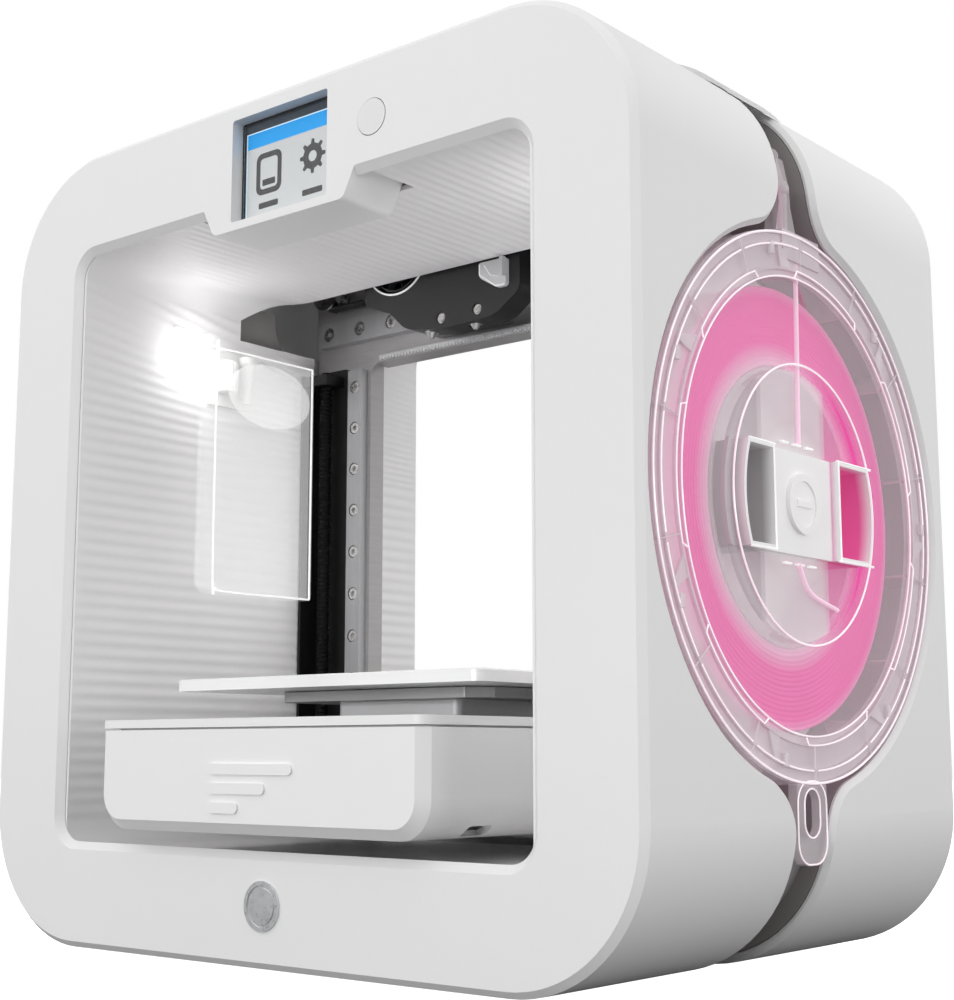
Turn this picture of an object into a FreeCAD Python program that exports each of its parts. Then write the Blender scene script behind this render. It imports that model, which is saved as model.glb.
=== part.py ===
import FreeCAD, Part
import math
import os

# Desktop filament printer with an open chamber and a clear filament cartridge in each side.
# Millimetres. X to the right, Y towards the rear, Z up; the origin is on the table under the middle.

V = FreeCAD.Vector

# ---- driving dimensions -------------------------------------------------------------------
WIDTH = 335.0               # outer width of both shells
BODY_HEIGHT = 334.0         # height of the shells without feet and top cover
SHELL_DEPTH = 221.0         # front face to rear face
CORNER_R = 54.8             # outer corners, seen from the front
FOOT_H = 1.5
TOTAL_HEIGHT = 343.0        # table to the crown of the top cover
SKIN = 3.0                  # moulded wall of the shells
FACE_BEVEL = 2.5            # bright bevel round the front and rear faces
WAIST_BEVEL = 2.0           # bevel along the waist gap
OPENING_HALF = 126.1        # chamber mouth, half width
OPENING_LOW = 40.2
OPENING_HIGH = 294.1
OPENING_R = 13.4
FUNNEL = 3.2                # chamfer of the chamber mouth
WAIST_FRONT = -17.0         # rear edge of the front shell
WAIST_REAR = 7.0            # front edge of the rear shell
WAIST_DEPTH = 10.0          # how far the recess lies below the skin
CARTRIDGE_Y = -2.5          # axis of both cartridges
CARTRIDGE_Z = 167.5
CARTRIDGE_R = 100.0
BAY_R = 102.0               # round cut-out in the shells' sides
FLARE_R = 22.0              # blend between the cut-out and the waist gap
CHAMBER_HALF = 122.0        # inner walls of the chamber
CHAMBER_TOP = 291.5
LINER = 2.0
CEILING_END = 6.0           # the ceiling stops here, in front of the print head
GANTRY_Y = 35.0             # front face of the sheet-metal gantry
COLUMN_INNER = 87.0         # gap between the gantry's columns, half width
SHEET = 2.0
Z_RAIL_X = 93.7
Z_SCREW_X = 109.5
Z_SCREW_Y = 27.0
Z_SCREW_R = 3.0
RAIL_WIDTH = 9.0
RAIL_PITCH = 20.0
X_RAIL_Z = 282.0
STAGE_HALF = 86.0           # moving stage, half width
STAGE_FRONT = -119.7        # the stage stands out at the front and at the rear
STAGE_REAR = 120.5
STAGE_LOW = 49.5
STAGE_HIGH = 91.5
STAGE_WALL = 2.5
LID = 4.0
PLATE_HALF = 81.8           # print plate
PLATE_Y = -3.8
PLATE_LOW = 103.8
PLATE_HIGH = 108.5
HEAD_LEFT = -66.0
HEAD_RIGHT = 26.0
HEAD_FRONT = 8.0
HEAD_LOW = 265.5
PULLEY_R = 6.0
BELT_Z = 300.0
PULLEY_X = 106.0
RUN_FIT = 0.05              # radial clearance of turning parts

TOP = FOOT_H + BODY_HEIGHT
HALF_W = WIDTH / 2
FRONT = -SHELL_DEPTH / 2
REAR = SHELL_DEPTH / 2
MIDDLE_Z = FOOT_H + BODY_HEIGHT / 2

os.makedirs("parts", exist_ok=True)


# ---- small tools --------------------------------------------------------------------------
def box(x0, x1, y0, y1, z0, z1):
    return Part.makeBox(x1 - x0, y1 - y0, z1 - z0, V(x0, y0, z0))


def cyl(axis, radius, a, b, low, high):
    """A round bar along one axis. a and b are its centre in the other two, in X, Y, Z order."""
    base = {"x": V(low, a, b), "y": V(a, low, b), "z": V(a, b, low)}[axis]
    along = {"x": V(1, 0, 0), "y": V(0, 1, 0), "z": V(0, 0, 1)}[axis]
    return Part.makeCylinder(radius, high - low, base, along)


def cone(axis, r_low, r_high, a, b, low, high):
    base = {"x": V(low, a, b), "y": V(a, low, b), "z": V(a, b, low)}[axis]
    along = {"x": V(1, 0, 0), "y": V(0, 1, 0), "z": V(0, 0, 1)}[axis]
    return Part.makeCone(r_low, r_high, high - low, base, along)


def tube(axis, r_out, r_in, a, b, low, high):
    return cyl(axis, r_out, a, b, low, high).cut(cyl(axis, r_in, a, b, low, high))


def rect(u0, u1, v0, v1, r):
    return [(u0, v0, r), (u1, v0, r), (u1, v1, r), (u0, v1, r)]


def prism(points, across, low, high):
    """Extrudes an outline of (u, v, corner radius) along the axis named by across."""
    place = {"x": lambda u, v: V(low, u, v),
             "y": lambda u, v: V(u, low, v),
             "z": lambda u, v: V(u, v, low)}[across]
    starts, ends, mids = [], [], []
    count = len(points)
    for i, (u, v, r) in enumerate(points):
        before = V(points[i - 1][0] - u, points[i - 1][1] - v, 0).normalize()
        after = V(points[(i + 1) % count][0] - u, points[(i + 1) % count][1] - v, 0).normalize()
        if r < 0.01:
            starts.append((u, v))
            ends.append((u, v))
            mids.append(None)
            continue
        half = before.getAngle(after) / 2
        run = r / math.tan(half)
        inward = (before + after).normalize() * (r / math.sin(half) - r)
        starts.append((u + before.x * run, v + before.y * run))
        ends.append((u + after.x * run, v + after.y * run))
        mids.append((u + inward.x, v + inward.y))
    edges = []
    for i in range(count):
        if mids[i]:
            edges.append(Part.Arc(place(*starts[i]), place(*mids[i]), place(*ends[i])).toShape())
        here, there = place(*ends[i]), place(*starts[(i + 1) % count])
        if here.distanceToPoint(there) > 0.001:
            edges.append(Part.LineSegment(here, there).toShape())
    along = {"x": V(1, 0, 0), "y": V(0, 1, 0), "z": V(0, 0, 1)}[across]
    return Part.Face(Part.Wire(edges)).extrude(along * (high - low))


def fuse(first, *others):
    return first.fuse(list(others)).removeSplitter()


def mirror_x(shape):
    return shape.mirror(V(0, 0, 0), V(1, 0, 0))


def save(name, shape):
    shape.exportStep("parts/" + name + ".step")


# ---- outlines shared by the shells, the waist and the cartridges ---------------------------
def body_prism(inset, y0, y1):
    """The rounded square of the shells, inset from the outer surface."""
    return prism(rect(-HALF_W + inset, HALF_W - inset, FOOT_H + inset, TOP - inset,
                      CORNER_R - inset), "y", y0, y1)


def gap_prism(grow, x0, x1):
    """The waist gap with its round cartridge cut-out, widened by grow, between two X planes."""
    front, rear = WAIST_FRONT - grow, WAIST_REAR + grow
    disc, blend = BAY_R + grow, FLARE_R - grow
    pieces = [cyl("x", disc, CARTRIDGE_Y, CARTRIDGE_Z, x0, x1)]
    for edge, side in ((front, -1), (rear, 1)):
        centre_y = edge + side * blend
        away = math.sqrt((disc + blend) ** 2 - (centre_y - CARTRIDGE_Y) ** 2)
        for up in (-1, 1):
            centre_z = CARTRIDGE_Z + up * away
            share = disc / (disc + blend)
            touch_y = CARTRIDGE_Y + (centre_y - CARTRIDGE_Y) * share
            touch_z = CARTRIDGE_Z + up * away * share
            corner = prism([(edge, centre_z, 0), (centre_y, centre_z, 0), (touch_y, touch_z, 0),
                            (CARTRIDGE_Y, CARTRIDGE_Z, 0)], "x", x0, x1)
            pieces.append(corner.cut(cyl("x", blend, centre_y, centre_z, x0 - 1, x1 + 1)))
    return fuse(box(x0, x1, front, rear, FOOT_H - 1, TOP + 1), *pieces)


def opening_prism(inset, y0, y1):
    return prism(rect(-OPENING_HALF + inset, OPENING_HALF - inset, OPENING_LOW + inset,
                      OPENING_HIGH - inset, OPENING_R - inset), "y", y0, y1)


def mouth_outline(y, inset):
    shape = opening_prism(inset, y, y + 1)
    return [f for f in shape.Faces if abs(f.CenterOfMass.y - y) < 0.01][0].OuterWire


def mouth(face_y, inward):
    """Chamber mouth: a funnel from the face down to the size of the liner."""
    deep = face_y + inward * FUNNEL
    taper = Part.makeLoft([mouth_outline(face_y, 0), mouth_outline(deep, FUNNEL)], True, True)
    return fuse(taper, opening_prism(FUNNEL, min(face_y, deep) - 2, max(face_y, deep) + 2))


# ---- display housing that hangs from the front shell ---------------------------------------
TONGUE = [(-47.0, 300.0, 0), (-42.0, OPENING_HIGH, 7.0), (-36.0, 282.6, 4.0),
          (36.0, 282.6, 4.0), (42.0, OPENING_HIGH, 7.0), (47.0, 300.0, 0)]
TONGUE_REAR = -84.0
SCREEN = (-25.7, 27.4, 286.0, 328.0)
SCREEN_DEPTH = 5.5
BUTTON_X, BUTTON_Z, BUTTON_R = 50.5, 310.7, 6.9
BUTTON_GAP = 0.3


def outer_edges(shape, y):
    """Edges of the outer surface in the plane of a face."""
    found = []
    for edge in shape.Edges:
        ys = [v.Point.y for v in edge.Vertexes]
        if all(abs(value - y) < 0.01 for value in ys):
            found.append(edge)
    return found


def on_skin(point):
    """True where a point lies on the outer surface of the rounded square."""
    flat = HALF_W - CORNER_R
    dx = max(abs(point.x) - flat, 0)
    dz = max(abs(point.z - MIDDLE_Z) - (BODY_HEIGHT / 2 - CORNER_R), 0)
    return abs(math.hypot(dx, dz) - CORNER_R) < 0.02


def waist_edges(shape, face_y):
    """The chain of edges along the waist: straight stretches, corners and the cartridge flares."""
    found = []
    for edge in shape.Edges:
        first, last = edge.FirstParameter, edge.LastParameter
        points = [edge.valueAt(first + (last - first) * share) for share in (0, 0.5, 1)]
        along_y = abs(edge.tangentAt((first + last) / 2).y) > 0.999
        at_face = all(abs(p.y - face_y) < 0.01 for p in points)
        if all(on_skin(p) for p in points) and not at_face and not along_y:
            found.append(edge)
    return found


def shell(face_y, waist_y):
    """One half of the housing: a rounded square cup, open at the waist, with the chamber mouth."""
    inward = 1 if waist_y > face_y else -1
    y0, y1 = min(face_y, waist_y), max(face_y, waist_y)
    body = body_prism(0, y0, y1)
    body = body.makeChamfer(FACE_BEVEL, outer_edges(body, face_y))
    for side in (-1, 1):
        x0, x1 = sorted((side * (HALF_W - 35), side * (HALF_W + 5)))
        body = body.cut(gap_prism(0, x0, x1))
    body = body.makeChamfer(WAIST_BEVEL, waist_edges(body, face_y + inward * FACE_BEVEL))
    inner = (face_y + inward * SKIN, waist_y + inward * 5)
    body = body.cut(body_prism(SKIN, min(inner), max(inner)))
    return body.cut(mouth(face_y, inward))


def front_shell():
    body = shell(FRONT, WAIST_FRONT)
    behind = FRONT + SKIN
    wall = prism(TONGUE, "y", FRONT, TONGUE_REAR)
    inside = prism([(-40.0, 305.0, 0), (-34.0, 285.0, 2.0), (34.0, 285.0, 2.0), (40.0, 305.0, 0)],
                   "y", behind, TONGUE_REAR - SHEET)
    body = fuse(body, wall.cut(inside))
    x0, x1, z0, z1 = SCREEN
    frame = box(x0 - 2, x1 + 2, behind - 0.5, FRONT + SCREEN_DEPTH + 1, z0 - 1.5, z1 + 2)
    body = fuse(body, frame)
    body = body.cut(prism(rect(x0, x1, z0, z1, 1.2), "y", FRONT - 1, FRONT + SCREEN_DEPTH + 2))
    socket = cyl("y", BUTTON_R + 2.5, BUTTON_X, BUTTON_Z, behind - 0.5, FRONT + 7)
    body = fuse(body, socket)
    return body.cut(cyl("y", BUTTON_R + BUTTON_GAP, BUTTON_X, BUTTON_Z, FRONT - 1, FRONT + 8))


# ---- hinged top cover: shared measures ------------------------------------------------------
COVER_FRONT, COVER_REAR = -27.0, 17.0
COVER_FLAT = 105.0
COVER_ARC_R = 58.1
COVER_WALL = 2.0
COVER_GAP = 0.4
COVER_HINGE_Z = TOP + 1.5
LUG_X, LUG_W = 60.0, 3.0     # lugs on the rear shell that carry the cover's hinge pins
KNUCKLE_R, KNUCKLE_LONG = 1.3, 15.0
PIN_R = 0.65

INLET_X, INLET_Z = -60.0, 22.0
INLET_W, INLET_H = 24.0, 15.0


def rear_shell():
    body = shell(REAR, WAIST_REAR)
    hole = box(INLET_X - INLET_W / 2, INLET_X + INLET_W / 2, REAR - 8, REAR + 1,
               INLET_Z - INLET_H / 2, INLET_Z + INLET_H / 2)
    body = body.cut(hole)
    for side in (-1, 1):
        x0, x1 = sorted((side * (LUG_X - LUG_W), side * LUG_X))
        lug = box(x0, x1, COVER_REAR - 1.5, COVER_REAR + 1.5, TOP - 1.0, COVER_HINGE_Z)
        lug = lug.fuse(cyl("x", 1.5, COVER_REAR, COVER_HINGE_Z, x0, x1))
        x0, x1 = sorted((side * (LUG_X - 1), side * (LUG_X + KNUCKLE_LONG - 1)))
        body = body.fuse([lug, cyl("x", PIN_R, COVER_REAR, COVER_HINGE_Z, x0, x1)])
    return body.removeSplitter()


save("front_shell", front_shell())
save("rear_shell", rear_shell())

# ---- recess behind the waist gap -----------------------------------------------------------
BAY_FLOOR = 128.0
BAY_WALL = 2.5
BAY_LOW, BAY_HIGH = 44.0, 291.0
BAY_SEAM = 266.5
UNDER_SKIN = HALF_W - SKIN - 0.3


def recess_tub():
    """Side recess of the right-hand cartridge: walls follow the gap, the floor lies inside."""
    tall = box(0, 400, -200, 200, BAY_LOW, BAY_HIGH)
    outer = gap_prism(BAY_WALL, BAY_FLOOR, UNDER_SKIN).common(tall)
    outer = outer.common(body_prism(SKIN + 0.3, -150, 150))
    hollow = gap_prism(0, BAY_FLOOR + BAY_WALL, 200)
    deep = box(0, 400, -200, 200, BAY_LOW + BAY_WALL, BAY_HIGH - BAY_WALL)
    passage = box(HALF_W - WAIST_DEPTH, 400, -200, 200, -50, 400)
    return outer.cut(hollow.common(fuse(deep, passage)))


def waist_band():
    """Channel that closes the gap over the top, round the corners and underneath."""
    y0, y1 = WAIST_FRONT - BAY_WALL, WAIST_REAR + BAY_WALL
    band = body_prism(SKIN + 0.3, y0, y1).cut(body_prism(WAIST_DEPTH + BAY_WALL, y0 - 1, y1 + 1))
    groove = body_prism(0, WAIST_FRONT, WAIST_REAR).cut(body_prism(WAIST_DEPTH, y0 - 1, y1 + 1))
    band = band.cut(groove)
    for side in (-1, 1):
        x0, x1 = sorted((side * 100.0, side * 200.0))
        band = band.cut(box(x0, x1, -200, 200, BAY_LOW - 0.3, BAY_HIGH))
    return band


tub = recess_tub()
bay = tub.common(box(0, 400, -200, 200, 0, BAY_SEAM))
shoulder = tub.common(box(0, 400, -200, 200, BAY_SEAM + 0.3, 400))
save("right_bay", bay)
save("left_bay", mirror_x(bay))
save("waist_frame", fuse(waist_band(), shoulder, mirror_x(shoulder)))

# ---- chamber liners ------------------------------------------------------------------------
LINER_START = FRONT + SKIN + 0.3
LINER_END = GANTRY_Y - 4.0
REAR_LINER_START = 67.0
NOTCH_Z = 271.5
CEILING_CORNER_R = 24.0
CEILING_CORNER_X = 98.0


def liner_tube(y0, y1, half, low, high, r):
    outer = prism(rect(-half - LINER, half + LINER, low - LINER, high + LINER, r + LINER), "y", y0, y1)
    return outer.cut(prism(rect(-half, half, low, high, r), "y", y0 - 1, y1 + 1))


def front_liner():
    body = liner_tube(LINER_START, LINER_END, CHAMBER_HALF, OPENING_LOW, CHAMBER_TOP, 10.0)
    beyond = box(-200, 200, CEILING_END, 200, NOTCH_Z, 400)
    for side in (-1, 1):
        x0, x1 = sorted((side * CEILING_CORNER_X, side * 200.0))
        corner = box(x0, x1, CEILING_END - CEILING_CORNER_R, 200, NOTCH_Z, 400)
        beyond = beyond.fuse(corner.cut(cyl("z", CEILING_CORNER_R, side * CEILING_CORNER_X,
                                            CEILING_END - CEILING_CORNER_R, 250, 320)))
        body = body.cut(cyl("z", 6.0, side * Z_SCREW_X, Z_SCREW_Y, 30, 50))
    body = body.cut(beyond)
    return body.cut(box(-47, 47, -130, TONGUE_REAR + 0.5, 280, 310))


save("front_liner", front_liner())
save("rear_liner", liner_tube(REAR_LINER_START, REAR - SKIN - 0.3, OPENING_HALF - FUNNEL,
                              OPENING_LOW + FUNNEL, CHAMBER_TOP - 1.0, 10.0))

# ---- base, electronics, feet ---------------------------------------------------------------
BASE_Z = 15.0
BOARD_Z = 21.0
FOOT_R = 9.0
FOOT_X, FOOT_Y = 95.0, 88.0

base = box(-92, 92, -100, 88, BASE_Z, BASE_Z + SHEET)
for px in (-80.0, 80.0):
    for py in (-92.0, 80.0):
        base = base.fuse(cyl("z", 4.0, px, py, FOOT_H + SKIN, BASE_Z))
save("base_pan", base.removeSplitter())

board = box(-60, 60, -88, -26, BOARD_Z, BOARD_Z + 1.6)
chips = [(-40, -70, 14, 14, 1.6), (-8, -66, 18, 18, 2.0), (30, -72, 10, 12, 1.4), (-42, -42, 10, 8, 9.0),
         (-22, -42, 10, 8, 9.0), (0, -42, 10, 8, 9.0), (24, -42, 16, 10, 7.0), (48, -46, 8, 16, 10.0)]
for cx, cy, w, d, h in chips:
    board = board.fuse(box(cx - w / 2, cx + w / 2, cy - d / 2, cy + d / 2, BOARD_Z + 1.6, BOARD_Z + 1.6 + h))
for px in (-55.0, 55.0):
    for py in (-83.0, -31.0):
        board = board.fuse(cyl("z", 2.5, px, py, BASE_Z + SHEET, BOARD_Z))
save("controller_board", board.removeSplitter())

feet = [cyl("z", FOOT_R, sx * FOOT_X, sy * FOOT_Y, 0, FOOT_H) for sx in (-1, 1) for sy in (-1, 1)]
save("feet", Part.makeCompound(feet))

inlet_wall = 2.2
inlet_depth = 13.0
inlet = box(INLET_X - INLET_W / 2 + 0.2, INLET_X + INLET_W / 2 - 0.2, REAR - inlet_depth - 3, REAR + 0.5,
            INLET_Z - INLET_H / 2 + 0.2, INLET_Z + INLET_H / 2 - 0.2)
inlet = inlet.cut(box(INLET_X - INLET_W / 2 + inlet_wall, INLET_X + INLET_W / 2 - inlet_wall,
                      REAR - inlet_depth, REAR + 1, INLET_Z - INLET_H / 2 + inlet_wall,
                      INLET_Z + INLET_H / 2 - inlet_wall))
for dx in (-5.0, 5.0):
    inlet = inlet.fuse(box(INLET_X + dx - 1, INLET_X + dx + 1, REAR - inlet_depth - 1, REAR - 7,
                           INLET_Z - 1, INLET_Z + 1))
save("power_inlet", inlet.removeSplitter())

# ---- gantry: sheet-metal portal, rails, screws, motors --------------------------------------
SHEET_Y = GANTRY_Y + SHEET
FLANGE = 7.0
BEAM_LOW, BEAM_HIGH = 265.0, 322.0
GANTRY_HALF = 124.0
GANTRY_LOW = 38.0
MOTOR = 28.0
MOTOR_Y = SHEET_Y + 0.2
AXLE_R = 2.0                # axle of the belt's idler
AXLE_FRONT = 21.4

portal = box(-GANTRY_HALF, GANTRY_HALF, GANTRY_Y, SHEET_Y, GANTRY_LOW, BEAM_HIGH)
window = prism(rect(-COLUMN_INNER, COLUMN_INNER, GANTRY_LOW - 20, BEAM_LOW, 6.0), "y", GANTRY_Y - 1,
               SHEET_Y + 1)
portal = portal.cut(window)
for side in (-1, 1):
    x0, x1 = sorted((side * COLUMN_INNER, side * (COLUMN_INNER + SHEET)))
    portal = portal.fuse(box(x0, x1, SHEET_Y, SHEET_Y + FLANGE, GANTRY_LOW, BEAM_LOW + 2))
    portal = portal.cut(cyl("y", 4.0, side * PULLEY_X, BELT_Z, GANTRY_Y - 1, SHEET_Y + 1))
portal = portal.fuse(box(-GANTRY_HALF, GANTRY_HALF, GANTRY_Y - 3, REAR_LINER_START - 1, GANTRY_LOW,
                         GANTRY_LOW + SHEET))
portal = portal.fuse(box(-COLUMN_INNER, COLUMN_INNER, SHEET_Y, SHEET_Y + 10, BEAM_LOW, BEAM_LOW + SHEET))
portal = portal.fuse(cyl("y", AXLE_R, PULLEY_X, BELT_Z, AXLE_FRONT, SHEET_Y))
portal = portal.fuse(cyl("y", 5.0, PULLEY_X, BELT_Z, GANTRY_Y - 4, SHEET_Y))
save("gantry_frame", portal.removeSplitter())

RAIL_THICK = 4.5
RAIL_LOW, RAIL_HIGH = 45.0, 262.0
SCREW_HEAD_R = 2.6
SCREW_SINK = 1.2
rail = box(Z_RAIL_X - RAIL_WIDTH / 2, Z_RAIL_X + RAIL_WIDTH / 2, GANTRY_Y - RAIL_THICK, GANTRY_Y, RAIL_LOW,
           RAIL_HIGH)
screws = []
hole_z = RAIL_LOW + 8.5
while hole_z < RAIL_HIGH - 4:
    rail = rail.cut(cyl("y", 3.0, Z_RAIL_X, hole_z, GANTRY_Y - RAIL_THICK - 1, GANTRY_Y - RAIL_THICK + 2.4))
    for side in (-1, 1):
        head = cyl("y", SCREW_HEAD_R, side * Z_RAIL_X, hole_z, GANTRY_Y - RAIL_THICK + 0.4,
                   GANTRY_Y - RAIL_THICK + 2.4)
        socket = cyl("y", 1.3, side * Z_RAIL_X, hole_z, GANTRY_Y - RAIL_THICK,
                     GANTRY_Y - RAIL_THICK + 0.4 + SCREW_SINK)
        screws.append(head.cut(socket))
    hole_z += RAIL_PITCH
save("z_rails", Part.makeCompound([rail, mirror_x(rail)]))

X_RAIL_HALF = 117.5
X_RAIL_H = 12.0
X_RAIL_THICK = 5.0
x_rail = box(-X_RAIL_HALF, X_RAIL_HALF, GANTRY_Y - X_RAIL_THICK, GANTRY_Y, X_RAIL_Z - X_RAIL_H / 2,
             X_RAIL_Z + X_RAIL_H / 2)
hole_x = -X_RAIL_HALF + 6.5
while hole_x < X_RAIL_HALF - 4:
    x_rail = x_rail.cut(cyl("y", 3.4, hole_x, X_RAIL_Z, GANTRY_Y - X_RAIL_THICK - 1,
                            GANTRY_Y - X_RAIL_THICK + 2.4))
    head = cyl("y", 3.0, hole_x, X_RAIL_Z, GANTRY_Y - X_RAIL_THICK + 0.4, GANTRY_Y - X_RAIL_THICK + 2.4)
    screws.append(head.cut(cyl("y", 1.5, hole_x, X_RAIL_Z, GANTRY_Y - X_RAIL_THICK,
                               GANTRY_Y - X_RAIL_THICK + 1.6)))
    hole_x += 20.6
save("x_rail", x_rail)
save("rail_screws", Part.makeCompound(screws))

CHANNEL_OUT, CHANNEL_IN = 121.5, 99.7
CHANNEL_LOW, CHANNEL_HIGH = 45.0, 264.0
channel = prism(rect(CHANNEL_IN, CHANNEL_OUT, CHANNEL_LOW, CHANNEL_HIGH, 3.0), "y", GANTRY_Y - SHEET,
                GANTRY_Y)
channel = channel.fuse(box(CHANNEL_OUT - 1.5, CHANNEL_OUT, GANTRY_Y - 13, GANTRY_Y - SHEET, CHANNEL_LOW + 3,
                           CHANNEL_HIGH - 3))
cap = box(Z_SCREW_X - 6, CHANNEL_OUT - 1.5, 21.0, GANTRY_Y - SHEET, 255.0, 260.0)
channel = channel.fuse(cap.cut(cyl("z", Z_SCREW_R + RUN_FIT, Z_SCREW_X, Z_SCREW_Y, 250,
                                   270))).removeSplitter()
save("z_channels", Part.makeCompound([channel, mirror_x(channel)]))

MOTOR_TOP = 37.6
lead = fuse(cyl("z", Z_SCREW_R, Z_SCREW_X, Z_SCREW_Y, MOTOR_TOP + 0.4, 262.0),
            cyl("z", 5.0, Z_SCREW_X, Z_SCREW_Y, MOTOR_TOP + 0.4, 53.0))
save("z_screw_right", lead)
save("z_screw_left", mirror_x(lead))


def motor(axis, a, b, low, high, half=MOTOR / 2):
    """Square stepper motor with a round boss at its high end."""
    square = rect(a - half, a + half, b - half, b + half, 3.5)
    boss = cyl(axis, 7.0, a, b, high - 1.5, high) if axis != "y" else cyl("y", 7.0, a, b, low, low + 1.5)
    if axis == "y":
        return fuse(prism(square, "y", low + 1.5, high), boss)
    return fuse(prism(square, axis, low, high - 1.5), boss)


z_motor = motor("z", Z_SCREW_X, Z_SCREW_Y, 8.0, MOTOR_TOP)
save("z_motors", Part.makeCompound([z_motor, mirror_x(z_motor)]))
save("x_motor", motor("y", -PULLEY_X, BELT_Z, MOTOR_Y, MOTOR_Y + 28.0))

PULLEY_FRONT, PULLEY_BACK = 21.6, 30.4
pulley = fuse(cyl("y", PULLEY_R, -PULLEY_X, BELT_Z, PULLEY_FRONT + 1, PULLEY_BACK - 1),
              cyl("y", PULLEY_R + 2, -PULLEY_X, BELT_Z, PULLEY_FRONT, PULLEY_FRONT + 1),
              cyl("y", PULLEY_R + 2, -PULLEY_X, BELT_Z, PULLEY_BACK - 1, PULLEY_BACK),
              cyl("y", 2.5, -PULLEY_X, BELT_Z, PULLEY_BACK, SHEET_Y - 0.2))
save("x_pulley", pulley)
idler = fuse(cyl("y", PULLEY_R, PULLEY_X, BELT_Z, PULLEY_FRONT + 1, PULLEY_BACK - 1),
             cyl("y", PULLEY_R + 2, PULLEY_X, BELT_Z, PULLEY_FRONT, PULLEY_FRONT + 1),
             cyl("y", PULLEY_R + 2, PULLEY_X, BELT_Z, PULLEY_BACK - 1, PULLEY_BACK))
save("x_idler", idler.cut(cyl("y", AXLE_R + RUN_FIT, PULLEY_X, BELT_Z, 10, 40)))

BELT_GAP = 0.35
BELT_THICK = 1.2


def belt_loop(axis, a0, a1, b, r, low, high):
    """Closed belt round two equal pulleys."""
    inner = r + BELT_GAP
    if axis == "y":
        outer = prism(rect(a0 - inner - BELT_THICK, a1 + inner + BELT_THICK, b - inner - BELT_THICK,
                           b + inner + BELT_THICK, inner + BELT_THICK - 0.01), "y", low, high)
        return outer.cut(prism(rect(a0 - inner, a1 + inner, b - inner, b + inner, inner - 0.01), "y",
                               low - 1, high + 1))
    outer = prism(rect(a0 - inner - BELT_THICK, a1 + inner + BELT_THICK, b - inner - BELT_THICK,
                       b + inner + BELT_THICK, inner + BELT_THICK - 0.01), "x", low, high)
    return outer.cut(prism(rect(a0 - inner, a1 + inner, b - inner, b + inner, inner - 0.01), "x", low - 1,
                           high + 1))


save("x_belt", belt_loop("y", -PULLEY_X, PULLEY_X, BELT_Z, PULLEY_R, PULLEY_FRONT + 1.4, PULLEY_BACK - 1.4))

# ---- print head ----------------------------------------------------------------------------
HEAD_BACK = 21.0
FAN_X, FAN_Z, FAN_R = -46.0, 302.5, 16.5
HEAD_TOP = 321.0
head_outline = [(HEAD_LEFT, HEAD_TOP, 3.0), (HEAD_LEFT, 284.0, 5.0), (-50.0, 278.0, 8.0),
                (-40.0, 268.5, 14.0), (-18.0, HEAD_LOW, 30.0), (12.0, HEAD_LOW + 1.0, 18.0),
                (HEAD_RIGHT, 276.0, 6.0), (HEAD_RIGHT, HEAD_TOP, 3.0)]
head = prism(head_outline, "y", HEAD_FRONT, HEAD_BACK)
head = head.cut(cyl("y", FAN_R, FAN_X, FAN_Z, HEAD_FRONT - 1, HEAD_BACK - 2))
head = head.fuse(cyl("y", 5.0, FAN_X, FAN_Z, HEAD_BACK - 6, HEAD_BACK - 2)).removeSplitter()
head = head.cut(cyl("y", 1.5 + RUN_FIT, FAN_X, FAN_Z, HEAD_FRONT, HEAD_BACK - 2))
SCREW_SPOTS = [(-19.0, 270.5), (2.0, 271.0)]
for sx, sz in SCREW_SPOTS:
    head = head.cut(cyl("y", 2.6, sx, sz, HEAD_FRONT - 1, HEAD_FRONT + 1.6))
JET_X = (-30.0, -4.0)
JET_Y = 14.5
JET_TIP = 264.0
for jx in JET_X:
    head = head.cut(cyl("z", 3.5, jx, JET_Y, 255.0, 285.0))
save("head_shell", head)

spots = [fuse(cyl("y", 2.3, sx, sz, HEAD_FRONT + 0.6, HEAD_FRONT + 1.6),
              cyl("y", 1.6, sx, sz, HEAD_FRONT + 0.2, HEAD_FRONT + 0.6))
         for sx, sz in SCREW_SPOTS]
save("head_screws", Part.makeCompound(spots))

jets = []
for jx in JET_X:
    jets.append(fuse(cyl("z", 3.45, jx, JET_Y, JET_TIP + 2.4, 285.0),
                     cone("z", 0.9, 2.6, jx, JET_Y, JET_TIP, JET_TIP + 2.4)))
save("head_jets", Part.makeCompound(jets))

hub = cyl("y", 7.0, FAN_X, FAN_Z, HEAD_FRONT + 1.0, HEAD_BACK - 6.4)
rotor = hub
for k in range(9):
    blade = box(FAN_X + 6.0, FAN_X + FAN_R - 1.0, HEAD_FRONT + 2.0, HEAD_BACK - 8.0, FAN_Z - 0.6, FAN_Z + 0.6)
    blade.rotate(V(FAN_X, HEAD_FRONT + 3.5, FAN_Z), V(1, 0, 0), 28)
    blade.rotate(V(FAN_X, 0, FAN_Z), V(0, 1, 0), 40 * k)
    rotor = rotor.fuse(blade)
rotor = rotor.fuse(cyl("y", 1.5, FAN_X, FAN_Z, HEAD_BACK - 6.5, HEAD_BACK - 3.0)).removeSplitter()
save("head_fan", rotor)

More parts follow.
